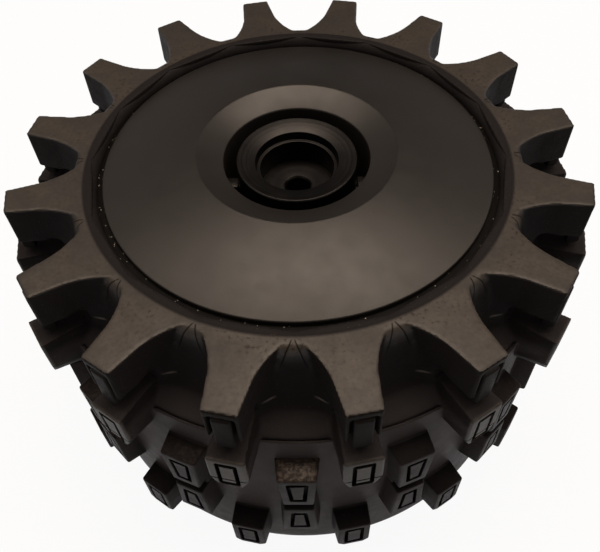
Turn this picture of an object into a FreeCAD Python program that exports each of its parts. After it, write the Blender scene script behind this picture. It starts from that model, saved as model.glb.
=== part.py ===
import FreeCAD, Part
import math
import os
import Sketcher

# Drive wheel of a robotic lawn mower, in millimetres, lying on its inner side with the wheel axis along +Z.
# The origin is on the axis, on the plane that the inner side rests on. Front is -Y.

doc = FreeCAD.newDocument("MowerDriveWheel")
sheet = doc.addObject("Spreadsheet::Sheet", "Sizes")

DRIVING_SIZES = (
    # tyre carcass
    ("tyre_width", 136.0),
    ("drum_radius", 98.2),
    ("drum_wall", 7.0),
    ("shoulder_height", 36.7),
    ("shoulder_step", 0.8),
    ("scoop_radius", 17.0),
    ("scoop_top_radius", 83.3),
    ("scoop_top_drop", 10.5),
    ("inner_shoulder_round", 12.0),
    ("bead_bore_radius", 70.0),
    ("bead_foot_length", 19.0),
    ("bead_foot_radius", 77.0),
    ("bead_toe", 1.6),
    ("lip_bore_radius", 74.2),
    ("lip_outer_radius", 78.6),
    ("lip_rise", 0.2),
    ("lip_round", 4.6),
    ("sidewall", 8.0),
    ("hollow_round", 4.0),
    ("hollow_foot_inset", 2.0),
    # paddles
    ("paddle_count", 16),
    ("paddle_rise", 1.0),
    ("paddle_tip_radius", 106.1),
    ("paddle_tip_width", 11.2),
    ("paddle_flank_angle", 3.6),
    ("paddle_flare_start", 93.0),
    ("paddle_flare_radius", 17.6),
    ("paddle_valley_radius", 80.0),
    ("paddle_valley_gap", 2.2),
    ("paddle_depth", 16.8),
    ("paddle_root_overlap", 2.4),
    ("rib_radius", 90.7),
    ("rib_root_radius", 82.0),
    ("notch_round", 3.0),
    ("tongue_width", 6.3),
    ("tongue_thickness", 4.0),
    ("tongue_drop", 6.4),
    ("tongue_top_inset", 4.4),
    ("tongue_bevel", 1.6),
    ("tongue_proud", 0.4),
    ("tongue_groove_width", 1.1),
    ("tongue_groove_depth", 2.5),
    # tread blocks
    ("block_groove_width", 1.0),
    ("block_groove_depth", 1.0),
    ("block_root_depth", 2.2),
    ("outer_block_radius", 110.0),
    ("outer_block_width", 13.2),
    ("outer_block_draft", 2.4),
    ("outer_block_top_draft", 0.3),
    ("outer_block_low", 25.3),
    ("outer_block_high", 44.2),
    ("outer_block_skirt", 3.3),
    ("outer_block_corner_width", 2.4),
    ("outer_block_corner_height", 5.0),
    ("outer_bridge_low_width", 15.6),
    ("outer_bridge_high_width", 13.4),
    ("outer_frame_width", 7.4),
    ("outer_frame_height", 16.3),
    ("outer_frame_inset", 1.9),
    ("centre_block_radius", 106.2),
    ("centre_block_gap", 4.8),
    ("centre_block_length", 21.4),
    ("centre_block_end_width", 13.4),
    ("centre_block_waist_width", 11.0),
    ("centre_block_draft", 1.25),
    ("centre_block_end_draft", 0.4),
    ("centre_plinth_height", 3.6),
    ("centre_plinth_length", 9.0),
    ("centre_frame_wide", 7.8),
    ("centre_frame_narrow", 5.9),
    ("centre_frame_height", 15.5),
    ("centre_frame_inset", 2.6),
    ("inner_block_radius", 106.8),
    ("inner_block_width", 12.8),
    ("inner_block_draft", 0.8),
    ("inner_block_low", -45.5),
    ("inner_block_high", -25.7),
    ("inner_block_corner", 2.4),
    ("inner_frame_width", 7.8),
    ("inner_frame_height", 15.3),
    ("inner_frame_inset", 2.2),
    # rim
    ("rim_wall", 4.0),
    ("rim_flange_radius", 76.7),
    ("rim_flange_thickness", 4.0),
    ("outer_flange_inset", 3.0),
    ("inner_flange_inset", 4.0),
    ("web_height", 97.0),
    ("web_thickness", 6.0),
    ("joint_flange_radius", 52.0),
    ("joint_flange_thickness", 6.0),
    ("gusset_count", 8),
    ("gusset_height", 24.0),
    ("gusset_thickness", 3.0),
    ("fit_gap", 0.3),
    # rim fasteners
    ("rim_screw_count", 8),
    ("rim_screw_circle", 58.0),
    ("rim_screw_radius", 2.5),
    ("rim_head_radius", 4.25),
    ("rim_head_height", 5.0),
    ("rim_socket_size", 4.0),
    ("rim_washer_radius", 5.0),
    ("rim_washer_thickness", 1.0),
    ("rim_nut_size", 8.0),
    ("rim_nut_height", 4.0),
    # hub
    ("hub_collar_radius", 22.5),
    ("hub_collar_rise", 1.0),
    ("hub_edge_chamfer", 0.5),
    ("hub_cone_radius", 15.5),
    ("hub_cone_drop", 1.5),
    ("hub_step_height", 3.2),
    ("recess_radius", 13.8),
    ("recess_floor_drop", 14.4),
    ("bolt_hole_radius", 4.5),
    ("bolt_hole_length", 10.6),
    ("bolt_hole_chamfer", 0.8),
    ("drive_bore_radius", 8.0),
    ("drive_bore_chamfer", 1.0),
    ("keyway_width", 5.0),
    ("keyway_depth", 2.3),
    ("hub_boss_radius", 17.0),
    ("hub_boss_length", 19.0),
    ("hub_flange_radius", 40.0),
    ("hub_flange_thickness", 8.0),
    # hub fasteners
    ("hub_screw_count", 6),
    ("hub_screw_circle", 31.0),
    ("hub_screw_radius", 3.0),
    ("hub_head_radius", 5.0),
    ("hub_head_height", 6.0),
    ("hub_socket_size", 5.0),
    ("hub_washer_radius", 6.0),
    ("hub_washer_thickness", 1.2),
    ("hub_nut_size", 10.0),
    ("hub_nut_height", 5.0),
    ("screw_hole_gap", 0.3),
    ("thread_gap", 0.05),
    # face cover
    ("cover_radius", 72.0),
    ("cover_edge_height", 2.0),
    ("cover_wall", 2.5),
    ("cover_edge_wall", 3.5),
    ("cover_neck_drop", 1.5),
    ("dish_edge_radius", 36.6),
    ("dish_edge_rise", 6.8),
    ("dish_bore_radius", 27.0),
    ("dish_drop", 4.2),
    ("skirt_clearance", 2.95),
    ("centring_rib_count", 4),
    ("centring_rib_width", 5.0),
    ("centring_rib_height", 12.0),
    ("cover_boss_radius", 4.6),
    ("cover_boss_bury", 1.2),
    ("cover_screw_count", 6),
    ("cover_screw_circle", 46.0),
    ("cover_screw_radius", 2.0),
    ("cover_screw_reach", 12.0),
    ("cover_pilot_depth", 15.0),
    ("cover_head_radius", 4.0),
    ("cover_head_height", 2.6),
    ("cover_slot_width", 1.2),
    ("cover_slot_depth", 1.3),
)

for row, (alias, number) in enumerate(DRIVING_SIZES, start=1):
    sheet.set(f"A{row}", alias.replace("_", " "))
    sheet.set(f"B{row}", str(number))
    sheet.setAlias(f"B{row}", alias)
doc.recompute()


class Size:
    """A measure that keeps its number together with the sheet expression that gives it."""

    def __init__(self, value, text):
        self.value = value
        self.text = text

    def __add__(self, other):
        other = as_size(other)
        return Size(self.value + other.value, f"({self.text} + {other.text})")

    def __sub__(self, other):
        other = as_size(other)
        return Size(self.value - other.value, f"({self.text} - {other.text})")

    def __mul__(self, other):
        other = as_size(other)
        return Size(self.value * other.value, f"({self.text} * {other.text})")

    def __truediv__(self, other):
        other = as_size(other)
        return Size(self.value / other.value, f"({self.text} / {other.text})")

    def __neg__(self):
        return Size(-self.value, f"(0 - {self.text})")


def as_size(item):
    """Turns a plain number into a Size."""
    if isinstance(item, Size):
        return item
    return Size(float(item), f"{float(item)}")


def size(name):
    """The driving size of that name."""
    return Size(float(sheet.get(name)), f"Sizes.{name}")


def root(amount):
    """The square root of an amount."""
    return Size(math.sqrt(amount.value), f"sqrt({amount.text})")


def sine(angle):
    """The sine of an angle in degrees."""
    return Size(math.sin(math.radians(angle.value)), f"sin({angle.text})")


def cosine(angle):
    """The cosine of an angle in degrees."""
    return Size(math.cos(math.radians(angle.value)), f"cos({angle.text})")


def tangent(angle):
    """The tangent of an angle in degrees."""
    return Size(math.tan(math.radians(angle.value)), f"tan({angle.text})")


def bind(item, sizes):
    """Binds properties of a document object to sizes."""
    for name, amount in sizes.items():
        item.setExpression(name, as_size(amount).text)


def new_body(label):
    """An empty solid body."""
    body = doc.addObject("PartDesign::Body", label)
    body.Label = label
    return body


def new_sketch(body, name, plane_role, offset=None):
    """A sketch on one of the body's own planes, moved along the plane's normal by the offset."""
    sketch = body.newObject("Sketcher::SketchObject", f"{body.Name}_{name}")
    plane = next(item for item in body.Origin.OriginFeatures if item.Role == plane_role)
    sketch.AttachmentSupport = [(plane, "")]
    sketch.MapMode = "FlatFace"
    if offset is not None:
        bind(sketch, {"AttachmentOffset.Base.z": offset})
    return sketch


def arc_between(start, end, radius, side):
    """The arc from start to end with its centre to the left (side 1) or right (side -1) of the way."""
    middle = (start + end) * 0.5
    along = end - start
    left = FreeCAD.Vector(-along.y, along.x, 0).normalize()
    reach = math.sqrt(radius * radius - along.Length * along.Length / 4)
    centre = middle + left * reach * side
    first, last = (start, end) if side > 0 else (end, start)
    angles = [math.atan2(point.y - centre.y, point.x - centre.x) for point in (first, last)]
    circle = Part.Circle(centre, FreeCAD.Vector(0, 0, 1), radius)
    return Part.ArcOfCircle(circle, angles[0], angles[1])


def draw_outline(sketch, corners):
    """Draws a closed outline. A corner is (x, y), or (x, y, radius, side) where an arc leaves it."""
    points = [FreeCAD.Vector(as_size(c[0]).value, as_size(c[1]).value, 0) for c in corners]
    edges = []
    for index, corner in enumerate(corners):
        start = points[index]
        end = points[(index + 1) % len(points)]
        if len(corner) == 2:
            edges.append((sketch.addGeometry(Part.LineSegment(start, end)), 1, 2))
            continue
        radius, side = as_size(corner[2]), corner[3]
        arc = sketch.addGeometry(arc_between(start, end, radius.value, side))
        edges.append((arc, 1, 2) if side > 0 else (arc, 2, 1))
    for index, (edge, _, far_end) in enumerate(edges):
        following = edges[(index + 1) % len(edges)]
        sketch.addConstraint(Sketcher.Constraint("Coincident", edge, far_end, following[0], following[1]))
    for (edge, start_end, _), corner in zip(edges, corners):
        for kind, place in (("DistanceX", as_size(corner[0])), ("DistanceY", as_size(corner[1]))):
            rule = sketch.addConstraint(Sketcher.Constraint(kind, -1, 1, edge, start_end, place.value))
            sketch.setExpression(f"Constraints[{rule}]", place.text)
        if len(corner) > 2:
            radius = as_size(corner[2])
            rule = sketch.addConstraint(Sketcher.Constraint("Radius", edge, radius.value))
            sketch.setExpression(f"Constraints[{rule}]", radius.text)


def revolved(body, corners):
    """A ring turned about the wheel axis from an outline of radius and height."""
    sketch = new_sketch(body, "section", "XZ_Plane")
    draw_outline(sketch, corners)
    turn = body.newObject("PartDesign::Revolution", f"{body.Name}_turned")
    turn.Profile = sketch
    turn.ReferenceAxis = (sketch, ["V_Axis"])
    turn.Angle = 360
    doc.recompute()
    return turn


def padded(body, name, plane_role, offset, corners, length):
    """An outline padded along its plane's normal."""
    sketch = new_sketch(body, name, plane_role, offset)
    draw_outline(sketch, corners)
    pad = body.newObject("PartDesign::Pad", f"{body.Name}_{name}_pad")
    pad.Profile = sketch
    bind(pad, {"Length": length})
    doc.recompute()
    return pad


def circle_pocket(body, name, offset, circle_radius, hole_radius, depth, turn_angle, upwards):
    """A round hole on a pitch circle, cut along the wheel axis from the offset plane."""
    sketch = new_sketch(body, name, "XY_Plane", offset)
    centre_x = circle_radius * sine(turn_angle)
    centre_y = -(circle_radius * cosine(turn_angle))
    centre = FreeCAD.Vector(centre_x.value, centre_y.value, 0)
    circle = sketch.addGeometry(Part.Circle(centre, FreeCAD.Vector(0, 0, 1), hole_radius.value))
    for kind, place in (("DistanceX", centre_x), ("DistanceY", centre_y)):
        rule = sketch.addConstraint(Sketcher.Constraint(kind, -1, 1, circle, 3, place.value))
        sketch.setExpression(f"Constraints[{rule}]", place.text)
    rule = sketch.addConstraint(Sketcher.Constraint("Radius", circle, hole_radius.value))
    sketch.setExpression(f"Constraints[{rule}]", hole_radius.text)
    pocket = body.newObject("PartDesign::Pocket", f"{body.Name}_{name}_cut")
    pocket.Profile = sketch
    pocket.Reversed = upwards
    bind(pocket, {"Length": depth})
    doc.recompute()
    return pocket


def circle_pattern(body, feature, count):
    """Repeats a feature round the wheel axis."""
    pattern = body.newObject("PartDesign::PolarPattern", f"{feature.Name}_ring")
    pattern.Originals = [feature]
    pattern.Axis = (feature.Profile[0], ["N_Axis"])
    pattern.Angle = 360
    bind(pattern, {"Occurrences": count})
    body.Tip = pattern
    doc.recompute()
    return pattern


def wedge(name, outer, inner):
    """A drafted block facing the front. Each end is (radius, half width, low, high)."""
    block = doc.addObject("Part::Wedge", name)
    bind(block, {
        "Ymin": -outer[0], "Xmin": -outer[1], "Xmax": outer[1], "Zmin": outer[2], "Zmax": outer[3],
        "Ymax": -inner[0], "X2min": -inner[1], "X2max": inner[1], "Z2min": inner[2], "Z2max": inner[3],
    })
    return block


def block_box(name, half_width, inner_radius, outer_radius, low, high):
    """A plain block facing the front."""
    return wedge(name, (outer_radius, half_width, low, high), (inner_radius, half_width, low, high))


def cut(name, base, tool):
    """The base less the tool."""
    result = doc.addObject("Part::Cut", name)
    result.Base = base
    result.Tool = tool
    return result


def fused(name, pieces):
    """One solid of pieces that run into each other."""
    result = doc.addObject("Part::MultiFuse", name)
    result.Shapes = pieces
    return result


def turned_copies(name, original, count, start_angle):
    """Copies of a piece, evenly spaced round the wheel axis."""
    copies = []
    for index in range(round(count.value)):
        copy = doc.addObject("App::Link", f"{name}_{index + 1}")
        copy.LinkedObject = original
        copy.LinkTransform = True
        copy.Placement = FreeCAD.Placement(FreeCAD.Vector(), FreeCAD.Rotation(FreeCAD.Vector(0, 0, 1), 1))
        bind(copy, {"Placement.Rotation.Angle": as_size(360) / count * index + start_angle})
        copies.append(copy)
    return copies


def node(item, label):
    """Names a finished piece after its file."""
    item.Label = label
    NODES.append(item)
    return item


NODES = []
HEXAGON_SIDES = 6

# Planes that several pieces share
middle = size("tyre_width") / 2
face = size("tyre_width")
paddle_top = face + size("paddle_rise")
drum = size("drum_radius")
block_root = drum - size("block_root_depth")
half_pitch = as_size(180) / size("paddle_count")
outer_seat = face - size("outer_flange_inset")
inner_seat = size("inner_flange_inset")
shoulder = middle + size("shoulder_height")
flange = size("rim_flange_thickness")
web_low = size("web_height")
web_high = web_low + size("web_thickness")


def tyre_carcass():
    """The ring under the tread: bead lips, sidewalls, drum and the hollow inside."""
    body = new_body("tyre_carcass")
    bore = size("bead_bore_radius")
    foot = size("bead_foot_radius")
    lip = size("lip_bore_radius")
    foot_length = size("bead_foot_length")
    hollow = drum - size("drum_wall")
    wall = size("sidewall")
    scoop_foot = drum - size("shoulder_step")
    scoop_top = face - size("scoop_top_drop")
    round_inner = size("inner_shoulder_round")
    revolved(body, (
        (lip, outer_seat),
        (foot, outer_seat),
        (foot, outer_seat - flange),
        (bore, outer_seat - flange),
        (bore, outer_seat - flange - foot_length),
        (foot, outer_seat - flange - foot_length - size("bead_toe")),
        (hollow, shoulder - wall),
        (hollow, wall + size("hollow_round") * 2),
        (hollow - size("hollow_round"), wall),
        (foot + size("hollow_foot_inset"), wall),
        (foot, inner_seat + flange + foot_length),
        (bore, inner_seat + flange + foot_length),
        (bore, inner_seat + flange),
        (foot, inner_seat + flange),
        (foot, inner_seat),
        (lip, inner_seat),
        (lip, as_size(0)),
        (drum - round_inner, as_size(0), round_inner, 1),
        (drum, round_inner),
        (drum, shoulder),
        (scoop_foot, shoulder + size("shoulder_step"), size("scoop_radius"), -1),
        (size("scoop_top_radius"), scoop_top),
        (size("lip_outer_radius"), paddle_top + size("lip_rise"), size("lip_round"), 1),
    ))
    return body


def paddle():
    """One paddle with its flared root, rib, outer block, tongue and grooves, at the front."""
    body = new_body("paddle_lobe")
    half_tip = size("paddle_tip_width") / 2
    tip = size("paddle_tip_radius")
    flare_start = size("paddle_flare_start")
    flare_half = half_tip + (tip - flare_start) * tangent(size("paddle_flank_angle"))
    valley = size("paddle_valley_radius")
    valley_angle = half_pitch - size("paddle_valley_gap") / 2
    valley_x = valley * sine(valley_angle)
    valley_y = valley * cosine(valley_angle)
    root_y = valley_y - size("paddle_root_overlap") / 2
    underside = paddle_top - size("paddle_depth")
    flare = size("paddle_flare_radius")
    padded(body, "plan", "XY_Plane", underside, (
        (-half_tip, -tip),
        (half_tip, -tip),
        (flare_half, -flare_start, flare, -1),
        (valley_x, -valley_y),
        (valley_x, -root_y),
        (-valley_x, -root_y),
        (-valley_x, -valley_y, flare, -1),
        (-flare_half, -flare_start),
    ), size("paddle_depth"))

    # The rib under the paddle follows the flared plan, and the notch is open outside it
    arc = flare_arc((flare_half, flare_start), (valley_x, valley_y), flare)
    rib = new_body("paddle_rib")
    rib_radius = size("rib_radius")
    rib_root = size("rib_root_radius")
    overlap = size("paddle_root_overlap")
    rib_half = flare_width(arc, rib_radius)
    root_half = flare_width(arc, rib_root)
    padded(rib, "plan", "XY_Plane", shoulder, (
        (-rib_half, -rib_radius),
        (rib_half, -rib_radius, flare, -1),
        (root_half, -rib_root),
        (-root_half, -rib_root, flare, -1),
    ), underside + overlap - shoulder)
    fillet = new_body("notch_fillet")
    notch_round = size("notch_round")
    sketch = new_sketch(fillet, "side", "YZ_Plane")
    draw_outline(sketch, (
        (-(rib_radius + notch_round), underside, notch_round, -1),
        (-rib_radius, underside - notch_round),
        (-(rib_radius - overlap), underside - notch_round),
        (-(rib_radius - overlap), underside + overlap),
        (-(rib_radius + notch_round), underside + overlap),
    ))
    fillet_pad = fillet.newObject("PartDesign::Pad", "notch_fillet_pad")
    fillet_pad.Profile = sketch
    fillet_pad.Midplane = True
    bind(fillet_pad, {"Length": flare_half * 2})
    doc.recompute()

    # The outer block, drafted towards its root in the drum, with its lower corners cut off
    block_low = middle + size("outer_block_low")
    block_high = middle + size("outer_block_high")
    block_radius = size("outer_block_radius")
    half_block = size("outer_block_width") / 2
    corner = (size("outer_block_corner_width"), size("outer_block_corner_height"))
    block = cornered_block("outer_block", block_radius, half_block, block_low, block_high, corner, (
        size("outer_block_draft"), size("outer_block_skirt"), size("outer_block_top_draft")))
    bridge = new_body("outer_block_bridge")
    bridge_low = size("outer_bridge_low_width") / 2
    bridge_high = size("outer_bridge_high_width") / 2
    padded(bridge, "section", "XZ_Plane", rib_radius - overlap, (
        (-bridge_low, shoulder),
        (bridge_low, shoulder),
        (bridge_high, block_high),
        (-bridge_high, block_high),
    ), block_root - rib_radius + overlap)
    frame_high = block_high - size("outer_frame_inset")
    grooved = cut("outer_block_grooved", block, frame_groove(
        "outer_block_frame", block_radius, size("outer_frame_width") / 2,
        frame_high - size("outer_frame_height"), frame_high))

    # The tongue in its groove at the paddle's tip
    half_tongue = size("tongue_width") / 2
    groove = size("tongue_groove_width")
    tongue_top = paddle_top - size("tongue_top_inset")
    groove_box = block_box(
        "tongue_groove", half_tongue + groove, tip - size("tongue_groove_depth"),
        tip + size("tongue_proud"), underside - groove, tongue_top + groove)
    slotted = cut("paddle_slotted", body, groove_box)
    tongue_low = underside - size("tongue_drop")
    bevel = size("tongue_bevel")
    tongue_face = tip + size("tongue_proud")
    tongue = block_box(
        "tongue_block", half_tongue, tip - size("tongue_thickness"), tongue_face,
        tongue_low + bevel, tongue_top)
    toe = new_body("tongue_toe")
    padded(toe, "section", "XY_Plane", tongue_low, (
        (-half_tongue, -(tongue_face - bevel)),
        (half_tongue, -(tongue_face - bevel)),
        (half_tongue, -(tip - size("tongue_thickness"))),
        (-half_tongue, -(tip - size("tongue_thickness"))),
    ), bevel)
    return fused("paddle", [slotted, rib, fillet, bridge, grooved, tongue, toe])


def flare_arc(start, end, radius):
    """The centre and radius of the flank's arc, from its two ends."""
    across = end[0] - start[0]
    along = end[1] - start[1]
    chord = root(across * across + along * along)
    reach = root(radius * radius - chord * chord / 4) / chord
    return (start[0] + end[0]) / 2 - along * reach, (start[1] + end[1]) / 2 + across * reach, radius


def flare_width(arc, place):
    """Half the paddle's width where the flank's arc passes that distance from the axis."""
    rise = place - arc[1]
    return arc[0] - root(arc[2] * arc[2] - rise * rise)


def frame_groove(name, radius, half_width, low, high):
    """A rectangular frame, sunk into a block's face as a groove."""
    depth = size("block_groove_depth")
    width = size("block_groove_width")
    outside = block_box(f"{name}_outside", half_width, radius - depth, radius + depth, low, high)
    inside = block_box(
        f"{name}_inside", half_width - width, radius - depth * 2, radius + depth * 2,
        low + width, high - width)
    return cut(name, outside, inside)


def centre_block():
    """One centre block at the front: two halves that narrow towards the gap between them, on a plinth."""
    radius = size("centre_block_radius")
    half_gap = size("centre_block_gap") / 2
    draft = size("centre_block_draft")
    length = size("centre_block_length")
    end_half = size("centre_block_end_width") / 2
    waist_half = size("centre_block_waist_width") / 2
    pieces = []
    for side, name in ((1, "outer"), (-1, "inner")):
        waist = middle + half_gap * side
        end = middle + (half_gap + length) * side
        half = new_body(f"centre_block_{name}")
        sections = []
        for place, spread, lengthen in (
            (radius, as_size(0), as_size(0)),
            (block_root, draft, size("centre_block_end_draft")),
        ):
            sketch = new_sketch(half, f"section_{len(sections)}", "XZ_Plane", place)
            draw_outline(sketch, (
                (-(waist_half + spread), waist),
                (waist_half + spread, waist),
                (end_half + spread, end + lengthen * side),
                (-(end_half + spread), end + lengthen * side),
            ))
            sections.append(sketch)
        loft = half.newObject("PartDesign::AdditiveLoft", f"{half.Name}_loft")
        loft.Profile = sections[0]
        loft.Sections = sections[1:]
        loft.Ruled = True
        doc.recompute()
        frame_reach = half_gap + length - size("centre_frame_inset") - size("centre_frame_height") / 2
        frame = trapezoid_groove(f"centre_frame_{name}", radius, middle + frame_reach * side, side)
        pieces.append(cut(f"centre_half_{name}", half, frame))
    plinth = block_box(
        "centre_plinth", waist_half + draft, block_root, drum + size("centre_plinth_height"),
        middle - size("centre_plinth_length") / 2, middle + size("centre_plinth_length") / 2)
    return fused("centre_block_whole", pieces + [plinth])


def trapezoid_groove(name, radius, height, side):
    """A four-sided frame that widens away from the tyre's middle, sunk into a block's face."""
    depth = size("block_groove_depth")
    width = size("block_groove_width")
    wide = size("centre_frame_wide") / 2
    narrow = size("centre_frame_narrow") / 2
    rise = size("centre_frame_height") / 2
    rings = []
    for part_name, inset, reach in (("outside", as_size(0), depth), ("inside", width, depth * 2)):
        ring = new_body(f"{name}_{part_name}")
        padded(ring, "section", "XZ_Plane", radius - reach, (
            (-(narrow - inset), height - (rise - inset) * side),
            (narrow - inset, height - (rise - inset) * side),
            (wide - inset, height + (rise - inset) * side),
            (-(wide - inset), height + (rise - inset) * side),
        ), reach * 2)
        rings.append(ring)
    return cut(name, rings[0], rings[1])


def cornered_block(name, radius, half, low, high, corner, draft):
    """A block with cut lower corners. Corner is (across, down), draft is (across, down, at the top)."""
    body = new_body(f"{name}_plain")
    sections = []
    for place, (spread, drop, top_spread) in ((radius, (as_size(0),) * 3), (block_root, draft)):
        sketch = new_sketch(body, f"section_{len(sections)}", "XZ_Plane", place)
        draw_outline(sketch, (
            (-(half + spread), low - drop + corner[1]),
            (-(half + spread - corner[0]), low - drop),
            (half + spread - corner[0], low - drop),
            (half + spread, low - drop + corner[1]),
            (half + top_spread, high),
            (-(half + top_spread), high),
        ))
        sections.append(sketch)
    loft = body.newObject("PartDesign::AdditiveLoft", f"{name}_loft")
    loft.Profile = sections[0]
    loft.Sections = sections[1:]
    loft.Ruled = True
    doc.recompute()
    return body


def inner_block():
    """One inner block at the front, with its lower corners cut off."""
    radius = size("inner_block_radius")
    draft = size("inner_block_draft")
    low = middle + size("inner_block_low")
    high = middle + size("inner_block_high")
    corner = size("inner_block_corner")
    body = cornered_block(
        "inner_block", radius, size("inner_block_width") / 2, low, high, (corner, corner),
        (draft, draft, draft))
    frame_high = high - size("inner_frame_inset")
    return cut("inner_block", body, frame_groove(
        "inner_block_frame", radius, size("inner_frame_width") / 2,
        frame_high - size("inner_frame_height"), frame_high))


def tyre():
    """The whole tyre: carcass with sixteen of each tread piece."""
    count = size("paddle_count")
    pieces = [tyre_carcass()]
    pieces += turned_copies("paddle_copy", paddle(), count, half_pitch)
    pieces += turned_copies("centre_copy", centre_block(), count, as_size(0))
    pieces += turned_copies("inner_copy", inner_block(), count, half_pitch)
    whole = fused("tyre", pieces)
    whole.Refine = True
    return node(whole, "tyre")


def rim_outer_half():
    """The rim half that carries the web, the hub and the cover."""
    body = new_body("rim_outer_half")
    outer = size("bead_bore_radius") - size("fit_gap") / 2
    inner = outer - size("rim_wall")
    hub_hole = size("hub_collar_radius") + size("fit_gap")
    flange_low = outer_seat - flange + size("fit_gap") / 2
    revolved(body, (
        (hub_hole, web_low),
        (outer, web_low),
        (outer, flange_low),
        (size("rim_flange_radius"), flange_low),
        (size("rim_flange_radius"), outer_seat - size("fit_gap") / 2),
        (inner, outer_seat - size("fit_gap") / 2),
        (inner, web_high),
        (hub_hole, web_high),
    ))
    for name, circle, radius, count, angle in (
        ("rim_holes", "rim_screw_circle", "rim_screw_radius", "rim_screw_count", as_size(0)),
        ("hub_holes", "hub_screw_circle", "hub_screw_radius", "hub_screw_count", as_size(0)),
        ("cover_holes", "cover_screw_circle", "cover_screw_radius", "cover_screw_count", cover_turn()),
    ):
        hole = circle_pocket(
            body, name, web_high, size(circle), size(radius) + size("screw_hole_gap"),
            size("web_thickness"), angle, False)
        circle_pattern(body, hole, size(count))
    return node(body, "rim_outer_half")


def cover_turn():
    """The cover's screws stand midway between the hub's screws."""
    return as_size(180) / size("hub_screw_count")


def rim_inner_half():
    """The rim half that holds the inner bead and bolts to the web, with gussets at its joint flange."""
    body = new_body("rim_inner_ring")
    outer = size("bead_bore_radius") - size("fit_gap") / 2
    inner = outer - size("rim_wall")
    joint = size("joint_flange_radius")
    joint_low = web_low - size("joint_flange_thickness")
    flange_low = inner_seat + size("fit_gap") / 2
    revolved(body, (
        (inner, flange_low),
        (size("rim_flange_radius"), flange_low),
        (size("rim_flange_radius"), inner_seat + flange - size("fit_gap") / 2),
        (outer, inner_seat + flange - size("fit_gap") / 2),
        (outer, web_low),
        (joint, web_low),
        (joint, joint_low),
        (inner, joint_low),
    ))
    hole = circle_pocket(
        body, "rim_holes", web_low, size("rim_screw_circle"),
        size("rim_screw_radius") + size("screw_hole_gap"),
        size("joint_flange_thickness"), as_size(0), False)
    circle_pattern(body, hole, size("rim_screw_count"))
    gusset = gusset_rib(inner, joint, joint_low)
    gusset_turn = as_size(180) / size("gusset_count")
    gussets = turned_copies("gusset", gusset, size("gusset_count"), gusset_turn)
    return node(fused("rim_inner_whole", [body] + gussets), "rim_inner_half")


def gusset_rib(inner, joint, joint_low):
    """A three-cornered rib between the barrel and the joint flange, at the front."""
    body = new_body("gusset_rib")
    half = size("gusset_thickness") / 2
    sketch = new_sketch(body, "side", "YZ_Plane")
    overlap = size("rim_wall") / 2
    draw_outline(sketch, (
        (-(inner + overlap), joint_low - size("gusset_height")),
        (-(inner + overlap), joint_low + overlap),
        (-(joint + overlap), joint_low + overlap),
        (-(joint + overlap), joint_low),
        (-inner, joint_low - size("gusset_height")),
    ))
    pad = body.newObject("PartDesign::Pad", "gusset_pad")
    pad.Profile = sketch
    pad.Midplane = True
    bind(pad, {"Length": half * 2})
    doc.recompute()
    return body


def hub():
    """The turned hub: collar with bolt recess, flange, and boss with the keyed drive bore."""
    body = new_body("hub")
    collar = size("hub_collar_radius")
    top = face + size("hub_collar_rise")
    edge = size("hub_edge_chamfer")
    cone = size("hub_cone_radius")
    cone_height = top - size("hub_cone_drop")
    recess = size("recess_radius")
    recess_edge = cone_height - size("hub_step_height")
    floor = top - size("recess_floor_drop")
    hole = size("bolt_hole_radius")
    hole_chamfer = size("bolt_hole_chamfer")
    shaft_end = floor - size("bolt_hole_length")
    bore = size("drive_bore_radius")
    bore_chamfer = size("drive_bore_chamfer")
    flange_low = web_low - size("hub_flange_thickness")
    boss_low = flange_low - size("hub_boss_length")
    boss = size("hub_boss_radius")
    revolved(body, (
        (collar, web_low),
        (collar, top - edge),
        (collar - edge, top),
        (cone, cone_height),
        (cone - edge, recess_edge),
        (recess, recess_edge),
        (recess, floor),
        (hole + hole_chamfer, floor),
        (hole, floor - hole_chamfer),
        (hole, shaft_end),
        (bore, shaft_end),
        (bore, boss_low + bore_chamfer),
        (bore + bore_chamfer, boss_low),
        (boss, boss_low),
        (boss, flange_low),
        (size("hub_flange_radius"), flange_low),
        (size("hub_flange_radius"), web_low),
    ))
    half_key = size("keyway_width") / 2
    sketch = new_sketch(body, "keyway", "XY_Plane", boss_low)
    draw_outline(sketch, (
        (-half_key, as_size(0)),
        (half_key, as_size(0)),
        (half_key, bore + size("keyway_depth")),
        (-half_key, bore + size("keyway_depth")),
    ))
    keyway = body.newObject("PartDesign::Pocket", "hub_keyway_cut")
    keyway.Profile = sketch
    keyway.Reversed = True
    bind(keyway, {"Length": shaft_end - boss_low})
    doc.recompute()
    holes = circle_pocket(
        body, "flange_holes", flange_low, size("hub_screw_circle"),
        size("hub_screw_radius") + size("screw_hole_gap"), size("hub_flange_thickness"), as_size(0), True)
    circle_pattern(body, holes, size("hub_screw_count"))
    return node(body, "hub")


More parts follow.
